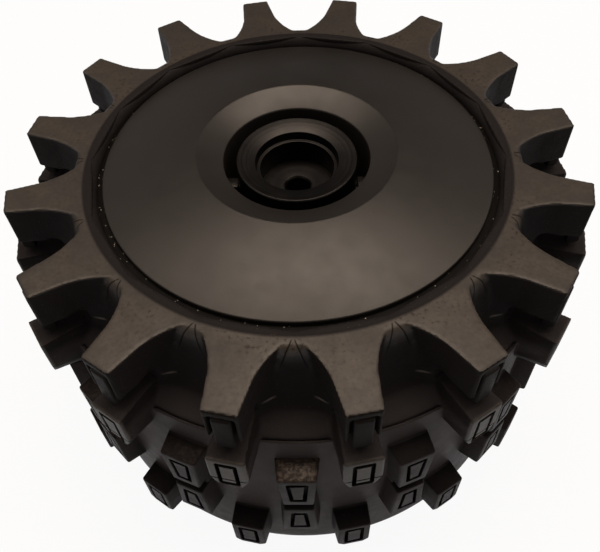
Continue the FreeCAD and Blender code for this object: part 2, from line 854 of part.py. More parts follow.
def face_cover():
    """The conical cover with its dish, skirt, centring ribs and screw bosses."""
    body = new_body("face_cover_shell")
    seat = outer_seat - size("fit_gap") / 2
    radius = size("cover_radius")
    edge_top = seat + size("cover_edge_height")
    dish = size("dish_edge_radius")
    dish_top = edge_top + size("dish_edge_rise")
    bore = size("dish_bore_radius")
    bore_top = dish_top - size("dish_drop")
    wall = size("cover_wall")
    screw_end = web_high + size("hub_nut_height") + size("hub_screw_radius") / 2
    skirt_low = screw_end + size("skirt_clearance")
    revolved(body, (
        (radius, seat),
        (radius, edge_top),
        (dish, dish_top),
        (bore, bore_top),
        (bore, skirt_low),
        (bore + wall, skirt_low),
        (bore + wall, bore_top - size("cover_neck_drop")),
        (dish, dish_top - wall),
        (radius - size("cover_edge_wall"), seat),
    ))
    pieces = [body]
    rib_inner = size("hub_collar_radius") + size("fit_gap")
    rib = block_box(
        "centring_rib", size("centring_rib_width") / 2, rib_inner, bore + wall / 2,
        skirt_low, skirt_low + size("centring_rib_height"))
    pieces += turned_copies("centring_rib_copy", rib, size("centring_rib_count"), as_size(0))
    slope = size("dish_edge_rise") / (radius - dish)
    boss_circle = size("cover_screw_circle")
    boss_top = dish_top - (boss_circle - dish) * slope - size("cover_boss_bury")
    boss = cylinder("cover_boss", boss_circle, size("cover_boss_radius"), web_high, boss_top)
    pilot_radius = size("cover_screw_radius") + size("thread_gap")
    pilot = cylinder(
        "cover_pilot", boss_circle, pilot_radius, web_high, web_high + size("cover_pilot_depth"))
    drilled = cut("cover_boss_drilled", boss, pilot)
    pieces += turned_copies("cover_boss_copy", drilled, size("cover_screw_count"), cover_turn())
    return node(fused("face_cover_whole", pieces), "face_cover")


def cylinder(name, circle_radius, radius, low, high):
    """An upright cylinder on a pitch circle, at the front."""
    item = doc.addObject("Part::Cylinder", name)
    bind(item, {
        "Radius": radius, "Height": high - low,
        "Placement.Base.y": -circle_radius, "Placement.Base.z": low,
    })
    return item


def prism(name, circle_radius, across_flats, low, high):
    """An upright six-sided prism on a pitch circle, at the front."""
    item = doc.addObject("Part::Prism", name)
    item.Polygon = HEXAGON_SIDES
    bind(item, {
        "Circumradius": across_flats / 2 / cosine(as_size(180) / HEXAGON_SIDES), "Height": high - low,
        "Placement.Base.y": -circle_radius, "Placement.Base.z": low,
    })
    return item


def group(label, original, count, start_angle):
    """Like pieces as one node of separate solids."""
    whole = doc.addObject("Part::Compound", label)
    whole.Links = turned_copies(f"{label}_copy", original, count, start_angle)
    return node(whole, label)


def clamp_set(prefix, low, high):
    """Socket screws with washers below the clamped plates, and nuts above them."""
    circle = size(f"{prefix}_screw_circle")
    radius = size(f"{prefix}_screw_radius")
    count = size(f"{prefix}_screw_count")
    washer_low = low - size(f"{prefix}_washer_thickness")
    head_low = washer_low - size(f"{prefix}_head_height")
    nut_high = high + size(f"{prefix}_nut_height")
    head = cylinder(f"{prefix}_head", circle, size(f"{prefix}_head_radius"), head_low, washer_low)
    socket = prism(
        f"{prefix}_socket", circle, size(f"{prefix}_socket_size"),
        head_low, head_low + size(f"{prefix}_head_height") / 2)
    shank = cylinder(f"{prefix}_shank", circle, radius, washer_low - size("fit_gap"), nut_high + radius / 2)
    screw = fused(f"{prefix}_screw", [cut(f"{prefix}_head_cut", head, socket), shank])
    group(f"{prefix}_screws", screw, count, as_size(0))
    washer = cut(
        f"{prefix}_washer",
        cylinder(f"{prefix}_washer_disc", circle, size(f"{prefix}_washer_radius"), washer_low, low),
        cylinder(f"{prefix}_washer_hole", circle, radius + size("screw_hole_gap"), washer_low, low))
    group(f"{prefix}_washers", washer, count, as_size(0))
    nut = cut(
        f"{prefix}_nut",
        prism(f"{prefix}_nut_body", circle, size(f"{prefix}_nut_size"), high, nut_high),
        cylinder(f"{prefix}_nut_hole", circle, radius + size("thread_gap"), high, nut_high))
    group(f"{prefix}_nuts", nut, count, as_size(0))


def cover_screws():
    """Slotted screws that pass through the web into the cover's bosses."""
    circle = size("cover_screw_circle")
    head_low = web_low - size("cover_head_height")
    head = cylinder("cover_head", circle, size("cover_head_radius"), head_low, web_low)
    slot_radius = size("cover_head_radius") * 2
    slot = block_box(
        "cover_slot", size("cover_slot_width") / 2, circle - slot_radius, circle + slot_radius,
        head_low, head_low + size("cover_slot_depth"))
    shank = cylinder(
        "cover_shank", circle, size("cover_screw_radius"), web_low - size("fit_gap"),
        web_high + size("cover_screw_reach"))
    screw = fused("cover_screw", [cut("cover_head_slotted", head, slot), shank])
    group("cover_screws", screw, size("cover_screw_count"), cover_turn())


tyre()
rim_outer_half()
rim_inner_half()
clamp_set("rim", web_low - size("joint_flange_thickness"), web_high)
hub()
clamp_set("hub", web_low - size("hub_flange_thickness"), web_high)
face_cover()
cover_screws()
doc.recompute()

for item in doc.Objects:
    if "Invalid" in item.State or "Error" in item.State:
        raise RuntimeError(f"{item.Label} did not build: {item.State}")
for item in NODES:
    if item.Shape.isNull() or not item.Shape.isValid():
        raise RuntimeError(f"{item.Label} has no valid shape")
os.makedirs("parts", exist_ok=True)
for item in NODES:
    item.Shape.exportStep(f"parts/{item.Label}.step")
    print(item.Label, len(item.Shape.Solids), "solids", round(item.Shape.Volume), "mm3")
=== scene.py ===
import math

import bmesh
import bpy
from bpy.props import FloatProperty, FloatVectorProperty, IntProperty, PointerProperty
from mathutils import Matrix, Vector


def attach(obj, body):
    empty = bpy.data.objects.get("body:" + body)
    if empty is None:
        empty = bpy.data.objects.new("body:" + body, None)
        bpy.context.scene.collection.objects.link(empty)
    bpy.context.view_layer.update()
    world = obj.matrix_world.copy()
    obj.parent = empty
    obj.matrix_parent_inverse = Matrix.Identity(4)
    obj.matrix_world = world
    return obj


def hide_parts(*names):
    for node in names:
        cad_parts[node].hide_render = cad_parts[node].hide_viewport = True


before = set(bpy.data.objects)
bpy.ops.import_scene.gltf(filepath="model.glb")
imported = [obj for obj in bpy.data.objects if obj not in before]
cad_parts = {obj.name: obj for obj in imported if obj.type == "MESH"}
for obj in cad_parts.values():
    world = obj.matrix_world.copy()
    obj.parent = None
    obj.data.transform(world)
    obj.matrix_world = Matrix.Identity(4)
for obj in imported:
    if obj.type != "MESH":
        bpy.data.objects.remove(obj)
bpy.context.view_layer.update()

bl_info = {
    "name": "Mower Drive Wheel",
    "version": (1, 0, 0),
    "blender": (4, 5, 0),
    "location": "View3D > Sidebar > Wheel",
    "description": "Dresses the drive wheel of a robotic lawn mower: paddle tyre, rim, hub and face cover",
    "category": "Object",
}

MM = 0.001
FULL_TURN = 2 * math.pi
SAME_SPOT = 0.001 * MM
NEARBY = 0.002 * MM

# Tread, in millimetres
OUTER_FACE = 110
BLOCK_ROOT = 96
GROOVE_WIDTH = 1.5
GROOVE_DEPTH = 2.0

# Stage
FLOOR_SIZE = 24.0
CAMERA_PLACE = Vector((0.00844, -0.19255, 0.31515))
CAMERA_AIM = Vector((-0.0294, 0.6095, -0.7922))
CAMERA_ROLL = math.radians(-2.689)
SENSOR_WIDTH = 36.0


def length_of(name, description, default):
    """A length that a user can change."""
    return FloatProperty(
        name=name, description=description, default=default, unit="LENGTH", subtype="DISTANCE")


def colour_of(name, description, default):
    """A colour that a user can change."""
    return FloatVectorProperty(
        name=name, description=description, subtype="COLOR", size=4, min=0, max=1, default=(*default, 1))


class WheelSizes(bpy.types.PropertyGroup):
    """Sizes of the tread and of the small roundings that the moulds leave."""

    paddle_count: IntProperty(
        name="Paddles", description="Paddles round the tyre, with as many of each tread block",
        default=16, min=3)
    paddle_top: length_of("Paddle top", "Height of the paddles' flat tops", 0.137)
    paddle_underside: length_of("Paddle underside", "Height of the overhanging ends' undersides", 0.1202)
    paddle_tip: length_of("Paddle tip", "Distance of the paddles' ends from the axis", 0.1061)
    drum: length_of("Drum radius", "Radius of the tyre's drum between the blocks", 0.0982)
    block_edge: length_of("Block edge", "Rounding of the tread blocks' edges", 0.0008)
    mould_step: length_of("Mould step", "Fineness of the paddle ring's moulded surface", 0.0006)
    cover_edge: length_of("Cover edge", "Rounding of the face cover's edges", 0.0005)
    turned_steps: IntProperty(
        name="Turned steps", description="Steps round a turned piece", default=256, min=32)


class WheelColours(bpy.types.PropertyGroup):
    """Colours of the wheel's finishes."""

    rubber: colour_of("Rubber", "Dark rubber of the tyre", (0.0285, 0.0265, 0.028))
    # Partly a real dust bloom, partly painted light: these tones lighten the upward tops and outer faces
    # where the lamp's light falls.
    bloom_and_painted_light: colour_of("Bloom", "Brownish bloom on the tyre's upper sides", (0.027, 0.0235, 0.020))
    warm_bloom_and_painted_light: colour_of("Warm bloom", "Browner patches of the bloom", (0.034, 0.0275, 0.0212))
    # Painted light: a lighter grey that stands in for lamp light on the pockets' floors and for the pale
    # floor's bounced light on the drum.
    painted_lit_grey: colour_of(
        "Painted lit grey", "Greyer rubber of the drum and of the pockets' floors", (0.048, 0.045, 0.048))
    rubber_worn: colour_of("Worn rubber", "Rough worn ends of the tread blocks", (0.075, 0.052, 0.037))
    cover: colour_of("Cover plastic", "Satin black plastic of the face cover", (0.0125, 0.0117, 0.0112))
    cover_scuff: colour_of("Cover scuffs", "Paler scuffs on the face cover", (0.03, 0.027, 0.023))
    rim: colour_of("Rim plastic", "Black plastic of the rim halves", (0.014, 0.0135, 0.013))
    dust: colour_of("Dust", "Pale specks caught beside the cover", (0.26, 0.23, 0.19))
    hub: colour_of("Hub metal", "Blackened turned metal of the hub", (0.036, 0.035, 0.035))
    steel: colour_of("Plated steel", "Zinc plated screws, washers and nuts", (0.55, 0.55, 0.53))


class StageSettings(bpy.types.PropertyGroup):
    """Floor, light and camera."""

    floor: colour_of("Floor", "Plain pale floor", (0.9, 0.9, 0.9))
    surround: colour_of("Surround", "Dim room before and behind the wheel", (0.06, 0.056, 0.053))
    sides: colour_of("Sides", "Paler room on both sides of the wheel", (0.40, 0.34, 0.30))
    horizon: colour_of("Horizon", "Pale band where the room meets the floor", (0.36, 0.325, 0.305))
    overhead: FloatVectorProperty(
        name="Overhead light", description="Colour of the broad light above the wheel", subtype="COLOR",
        size=3, min=0, max=1, default=(1.0, 0.81, 0.65))
    overhead_power: FloatProperty(
        name="Overhead power", description="Power of the broad light above the wheel", default=4.5,
        unit="POWER")
    ceiling_power: FloatProperty(
        name="Ceiling power", description="Power of the weak light from the whole ceiling", default=12.0,
        unit="POWER")
    lens: FloatProperty(
        name="Lens", description="Focal length of the camera, in millimetres", default=42.02)


def sizes():
    """The wheel's sizes."""
    return bpy.context.scene.wheel_sizes


def colours():
    """The wheel's colours."""
    return bpy.context.scene.wheel_colours


# Modelling steps


def deselect_all():
    """Leaves nothing selected, in object mode."""
    if bpy.context.mode != "OBJECT":
        bpy.ops.object.mode_set(mode="OBJECT")
    bpy.ops.object.select_all(action="DESELECT")


def choose(piece):
    """Makes one piece the active and only selected one."""
    deselect_all()
    piece.select_set(True)
    bpy.context.view_layer.objects.active = piece


def pick_points(piece, test):
    """Selects the points of a piece in edit mode whose place passes a test."""
    bpy.ops.mesh.select_mode(type="VERT")
    bpy.ops.mesh.select_all(action="DESELECT")
    mesh = bmesh.from_edit_mesh(piece.data)
    for point in mesh.verts:
        point.select_set(bool(test(point.co)))
    mesh.select_flush(True)
    bmesh.update_edit_mesh(piece.data)


def drawn(name, corners):
    """Draws a closed outline corner by corner, in millimetres, and leaves it selected in edit mode.

    A corner is (x, y, z) or (x, y, z, rounding).
    """
    deselect_all()
    bpy.ops.mesh.primitive_plane_add(size=MM)
    piece = bpy.context.object
    piece.name = name
    piece.data.name = name
    bpy.ops.object.mode_set(mode="EDIT")
    bpy.ops.mesh.select_mode(type="VERT")
    bpy.ops.mesh.merge(type="CENTER")
    places = [Vector(corner[:3]) * MM for corner in corners]
    bpy.ops.transform.translate(value=places[0])
    for last, place in zip(places, places[1:] + places[:1]):
        bpy.ops.mesh.extrude_vertices_move(TRANSFORM_OT_translate={"value": place - last})
    bpy.ops.mesh.select_all(action="SELECT")
    bpy.ops.mesh.remove_doubles(threshold=SAME_SPOT)
    roundings = sorted({corner[3] for corner in corners if len(corner) > 3})
    for rounding in roundings:
        spots = [place for corner, place in zip(corners, places) if corner[3:] == (rounding,)]
        pick_points(piece, lambda co: any((co - spot).length < NEARBY for spot in spots))
        bpy.ops.mesh.bevel(offset=rounding * MM, segments=4, affect="VERTICES")
    bpy.ops.mesh.select_all(action="SELECT")
    return piece


def turned(name, corners, steps):
    """Spins a section, given as (radius, height) or (radius, height, rounding), round the wheel axis."""
    piece = drawn(name, [(0, -corner[0], *corner[1:]) for corner in corners])
    bpy.ops.mesh.spin(steps=steps, angle=FULL_TURN, center=(0, 0, 0), axis=(0, 0, 1))
    bpy.ops.mesh.select_all(action="SELECT")
    bpy.ops.mesh.remove_doubles(threshold=NEARBY)
    bpy.ops.mesh.normals_make_consistent(inside=False)
    bpy.ops.object.mode_set(mode="OBJECT")
    return piece


def padded_outline(name, corners, push):
    """Fills a drawn outline and extrudes it, leaving its far face selected in edit mode."""
    piece = drawn(name, corners)
    bpy.ops.mesh.edge_face_add()
    bpy.ops.mesh.extrude_region_move(TRANSFORM_OT_translate={"value": Vector(push) * MM})
    return piece


def padded_slab(name, half, radius, low, high, depth):
    """A slab across the front, between two heights, left in edit mode."""
    corners = ((-half, low), (half, low), (half, high), (-half, high))
    return padded_outline(name, [(x, -radius, z) for x, z in corners], (0, depth, 0))


def round_bar(name, radius, length, place):
    """A round bar along the wheel axis at a place, in millimetres, left selected in edit mode."""
    deselect_all()
    bpy.ops.mesh.primitive_cylinder_add(vertices=32, radius=radius * MM, depth=length * MM)
    bar = bpy.context.object
    bar.name = name
    bpy.ops.object.mode_set(mode="EDIT")
    bpy.ops.transform.translate(value=Vector(place) * MM)
    return bar


def lofted(name, sections):
    """Draws the first section, extrudes it from section to section and moves its corners into place."""
    piece = drawn(name, sections[0])
    bpy.ops.mesh.edge_face_add()
    for last, section in zip(sections, sections[1:]):
        push = Vector((0, (section[0][1] - last[0][1]) * MM, 0))
        bpy.ops.mesh.extrude_region_move(TRANSFORM_OT_translate={"value": push})
        for old, new in zip(last, section):
            start = Vector(old) * MM + push
            pick_points(piece, lambda co: (co - start).length < NEARBY)
            bpy.ops.transform.translate(value=Vector(new) * MM - start)
        ends = [Vector(corner) * MM for corner in section]
        pick_points(piece, lambda co: any((co - end).length < NEARBY for end in ends))
    return piece


def close_solid():
    """Ends the modelling of a solid in edit mode with its faces pointing outwards."""
    bpy.ops.mesh.select_all(action="SELECT")
    bpy.ops.mesh.normals_make_consistent(inside=False)
    bpy.ops.object.mode_set(mode="OBJECT")


def ring_of(piece, count, half_step=False):
    """Copies a piece at the front evenly round the wheel axis, turned half a step first where asked."""
    choose(piece)
    bpy.ops.object.mode_set(mode="EDIT")
    bpy.ops.mesh.select_all(action="SELECT")
    if half_step:
        bpy.ops.transform.rotate(
            value=math.pi / count, orient_axis="Z", orient_type="GLOBAL", center_override=(0, 0, 0))
    copies = count - 1
    bpy.ops.mesh.spin(
        steps=copies, dupli=True, angle=FULL_TURN * copies / count, center=(0, 0, 0), axis=(0, 0, 1))
    close_solid()


def finish_with(piece, kind, **settings):
    """Adds a modifier to a piece and applies it."""
    choose(piece)
    item = piece.modifiers.new(kind.lower(), kind)
    for key, value in settings.items():
        setattr(item, key, value)
    bpy.ops.object.modifier_apply(modifier=item.name)


def carve(piece, tool):
    """Cuts a tool's shape out of a piece and removes the tool."""
    finish_with(piece, "BOOLEAN", operation="DIFFERENCE", solver="MANIFOLD", object=tool)
    bpy.data.objects.remove(tool)


def weigh(piece, name, weight):
    """Gives a piece a vertex group whose weights come from the points' places in millimetres."""
    group = piece.vertex_groups.new(name=name)
    for point in piece.data.vertices:
        amount = weight(point.co / MM)
        if amount > 0:
            group.add((point.index,), amount, "REPLACE")


def rise(value, low, high):
    """A smooth step from 0 at low to 1 at high."""
    part = min(max((value - low) / (high - low), 0.0), 1.0)
    return part * part * (3 - 2 * part)


def joined(pieces):
    """Joins pieces into the first one."""
    choose(pieces[0])
    for piece in pieces[1:]:
        piece.select_set(True)
    bpy.ops.object.join()
    return pieces[0]


def settle(piece, nodes, finish, angle=35):
    """Shades a finished piece, gives it its finish and lets it stand for CAD nodes."""
    choose(piece)
    bpy.ops.object.shade_smooth_by_angle(angle=math.radians(angle))
    piece.data.materials.clear()
    piece.data.materials.append(finish)
    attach(piece, "root")
    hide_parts(*nodes)


def arc(start, end, radius, count):
    """Points after the start, up to and with the end, on an arc with its centre to the right."""
    start = Vector(start)
    end = Vector(end)
    chord = end - start
    reach = math.sqrt(radius ** 2 - (chord.length / 2) ** 2)
    across = Vector((chord.y, -chord.x)).normalized()
    centre = (start + end) / 2 + across * reach
    first = start - centre
    turn = -2 * math.asin(chord.length / 2 / radius)
    points = []
    for step in range(1, count + 1):
        angle = turn * step / count
        spoke = Vector((
            first.x * math.cos(angle) - first.y * math.sin(angle),
            first.x * math.sin(angle) + first.y * math.cos(angle)))
        points.append(tuple(centre + spoke))
    return points


# Finishes


def new_group(name, inputs, outputs):
    """A shader node group with named number sockets, and its two end nodes."""
    group = bpy.data.node_groups.new(name, "ShaderNodeTree")
    for label, default in inputs.items():
        socket = group.interface.new_socket(name=label, in_out="INPUT", socket_type="NodeSocketFloat")
        socket.default_value = default
    for label in outputs:
        group.interface.new_socket(name=label, in_out="OUTPUT", socket_type="NodeSocketFloat")
    return group, group.nodes.new("NodeGroupInput"), group.nodes.new("NodeGroupOutput")


def place_node(tree, kind, links=None, **settings):
    """Adds a node, sets its properties and connects its inputs."""
    item = tree.nodes.new(kind)
    for key, value in settings.items():
        setattr(item, key, value)
    for key, source in (links or {}).items():
        if isinstance(source, bpy.types.NodeSocket):
            tree.links.new(source, item.inputs[key])
        else:
            item.inputs[key].default_value = source
    return item


def calc(tree, operation, first, second=0.0):
    """A math node's result."""
    return place_node(tree, "ShaderNodeMath", {0: first, 1: second}, operation=operation).outputs[0]


def times(tree, first, *others):
    """Values multiplied one after another."""
    for other in others:
        first = calc(tree, "MULTIPLY", first, other)
    return first


def most(tree, first, *others):
    """The largest of several values."""
    for other in others:
        first = calc(tree, "MAXIMUM", first, other)
    return first


def rest(tree, mask):
    """What a mask leaves over."""
    return calc(tree, "SUBTRACT", 1.0, mask)


def ramp(tree, value, low, high, start=0.0, end=1.0):
    """A value spread from one range to another, held at the ends."""
    return place_node(tree, "ShaderNodeMapRange", {
        "Value": value, "From Min": low, "From Max": high, "To Min": start, "To Max": end}).outputs[0]


def band(tree, value, low, high, fade):
    """A mask of the values between two limits, with a fade at both ends."""
    return times(tree, ramp(tree, value, low - fade, low), ramp(tree, value, high + fade, high))


def blend(tree, factor, first, second):
    """A mix of two colours."""
    item = place_node(tree, "ShaderNodeMix", {}, data_type="RGBA")
    for socket, source in ((item.inputs[0], factor), (item.inputs[6], first), (item.inputs[7], second)):
        if isinstance(source, bpy.types.NodeSocket):
            tree.links.new(source, socket)
        else:
            socket.default_value = source
    return item.outputs[2]


def toned(colour, share):
    """A darker shade of a colour."""
    return tuple(share * part for part in colour[:3]) + (1,)


def axis_distance(tree, place):
    """The distance of a place from the wheel axis."""
    flat = place_node(tree, "ShaderNodeVectorMath", {0: place, 1: (1, 1, 0)}, operation="MULTIPLY")
    return place_node(
        tree, "ShaderNodeVectorMath", {0: flat.outputs["Vector"]}, operation="LENGTH").outputs["Value"]


def moulded_grain():
    """Fine grain, soft mottling, broad waves and crumbs of a moulded surface."""
    group, start, end = new_group("moulded_grain", {
        "Grain Scale": 1600.0, "Mottle Scale": 160.0, "Wave Scale": 45.0, "Crumb Scale": 700.0,
    }, ("Grain", "Mottle", "Wave", "Crumb"))
    place = group.nodes.new("ShaderNodeTexCoord").outputs["Object"]
    for label, detail, rough in (
        ("Grain", 3.0, 0.6), ("Mottle", 6.0, 0.62), ("Wave", 2.0, 0.45), ("Crumb", 2.0, 0.5),
    ):
        noise = place_node(group, "ShaderNodeTexNoise", {
            "Vector": place, "Scale": start.outputs[f"{label} Scale"],
            "Detail": detail, "Roughness": rough})
        group.links.new(noise.outputs[0], end.inputs[label])
    return group


def dust_specks():
    """Small separate specks, as a mask."""
    group, start, end = new_group("dust_specks", {"Scale": 500.0, "Amount": 0.2, "Size": 0.3}, ("Mask",))
    place = group.nodes.new("ShaderNodeTexCoord").outputs["Object"]
    cells = place_node(group, "ShaderNodeTexVoronoi", {"Vector": place, "Scale": start.outputs["Scale"]})
    draw = place_node(group, "ShaderNodeSeparateColor", {0: cells.outputs["Color"]}).outputs[0]
    kept = calc(group, "LESS_THAN", draw, start.outputs["Amount"])
    near = calc(group, "LESS_THAN", cells.outputs["Distance"], start.outputs["Size"])
    group.links.new(times(group, kept, near), end.inputs["Mask"])
    return group


def fine_scuffs():
    """Thin straight rubbing marks in two directions, as a mask."""
    group, start, end = new_group("fine_scuffs", {"Scale": 40.0, "Turn": 0.6}, ("Mask",))
    place = group.nodes.new("ShaderNodeTexCoord").outputs["Object"]
    masks = []
    for sign in (1.0, -1.4):
        angle = times(group, start.outputs["Turn"], sign)
        spin = place_node(group, "ShaderNodeVectorRotate", {
            "Vector": place, "Angle": angle}, rotation_type="Z_AXIS").outputs[0]
        stretched = place_node(group, "ShaderNodeVectorMath", {
            0: spin, 1: (1.0, 34.0, 1.0)}, operation="MULTIPLY").outputs[0]
        noise = place_node(group, "ShaderNodeTexNoise", {
            "Vector": stretched, "Scale": start.outputs["Scale"], "Detail": 4.0, "Roughness": 0.65})
        masks.append(ramp(group, noise.outputs[0], 0.56, 0.74))
    group.links.new(most(group, *masks), end.inputs["Mask"])
    return group


def turning_rings():
    """Fine rings that a lathe leaves round the wheel axis."""
    group, start, end = new_group("turning_rings", {"Pitch Scale": 2600.0}, ("Rings",))
    place = group.nodes.new("ShaderNodeTexCoord").outputs["Object"]
    height = place_node(group, "ShaderNodeSeparateXYZ", {0: place}).outputs[2]
    along = place_node(group, "ShaderNodeCombineXYZ", {0: axis_distance(group, place), 1: height})
    noise = place_node(group, "ShaderNodeTexNoise", {
        "Vector": along.outputs[0], "Scale": start.outputs["Pitch Scale"],
        "Detail": 3.0, "Roughness": 0.6})
    group.links.new(noise.outputs[0], end.inputs["Rings"])
    return group


def pocket_creases():
    """Masks of the painted shade of the creases and of the painted highlights in each pocket, and the part
    of a step from its middle.
    """
    group, start, end = new_group(
        "pocket_creases", {"Count": 16.0, "Top": 0.137}, ("Mask", "Strokes", "Step"))
    place = group.nodes.new("ShaderNodeTexCoord").outputs["Object"]
    spot = place_node(group, "ShaderNodeSeparateXYZ", {0: place}).outputs
    angle = calc(group, "ARCTAN2", spot[0], times(group, spot[1], -1.0))
    turns = times(group, angle, calc(group, "DIVIDE", start.outputs["Count"], FULL_TURN))
    turns = calc(group, "FRACT", calc(group, "ADD", turns, 0.5))
    step = calc(group, "ABSOLUTE", calc(group, "SUBTRACT", turns, 0.5))
    group.links.new(step, end.inputs["Step"])
    drop = calc(group, "SUBTRACT", start.outputs["Top"], spot[2])
    apart = ramp(group, axis_distance(group, place), 0.0790, 0.0830, 0.010, 0.050)
    line = calc(group, "ADD", times(group, drop, 9.0), apart)
    off = calc(group, "ABSOLUTE", calc(group, "SUBTRACT", step, line))
    lines = times(group, ramp(group, off, 0.012, 0.004), ramp(group, drop, 0.011, 0.006))
    group.links.new(lines, end.inputs["Mask"])
    # Painted highlights: pale arcs where each pocket's floor turns up into the flanks.
    highlight_drop = 0.0218
    level = calc(group, "ABSOLUTE", calc(group, "SUBTRACT", drop, highlight_drop))
    painted_highlights = times(
        group, ramp(group, level, 0.0007, 0.0001), ramp(group, step, 0.17, 0.22),
        ramp(group, step, 0.31, 0.25))
    group.links.new(painted_highlights, end.inputs["Strokes"])
    return group


def shared_group(name):
    """One of the shared effects, built the first time that it is asked for."""
    makers = (moulded_grain, dust_specks, fine_scuffs, turning_rings, pocket_creases)
    return bpy.data.node_groups.get(name) or {maker.__name__: maker for maker in makers}[name]()


def new_finish(name):
    """A fresh material with its tree and its shader."""
    finish = bpy.data.materials.new(name)
    finish.use_nodes = True
    return finish, finish.node_tree, finish.node_tree.nodes["Principled BSDF"]


def use_group(tree, name, values):
    """Places a shared effect in a material, with the material's own values, and gives its outputs."""
    return place_node(tree, "ShaderNodeGroup", values, node_tree=shared_group(name)).outputs


def grain_of(tree, grain, mottle, wave):
    """Places the moulded grain at a material's own scales and gives its outputs."""
    return use_group(tree, "moulded_grain", {
        "Grain Scale": grain, "Mottle Scale": mottle, "Wave Scale": wave})


def add_bump(tree, shader, heights):
    """Chains bumps of (height, strength, distance) into the shader's normal."""
    last = None
    for height, strength, distance in heights:
        links = {"Height": height, "Strength": strength, "Distance": distance}
        if last is not None:
            links["Normal"] = last
        last = place_node(tree, "ShaderNodeBump", links).outputs[0]
    tree.links.new(last, shader.inputs["Normal"])


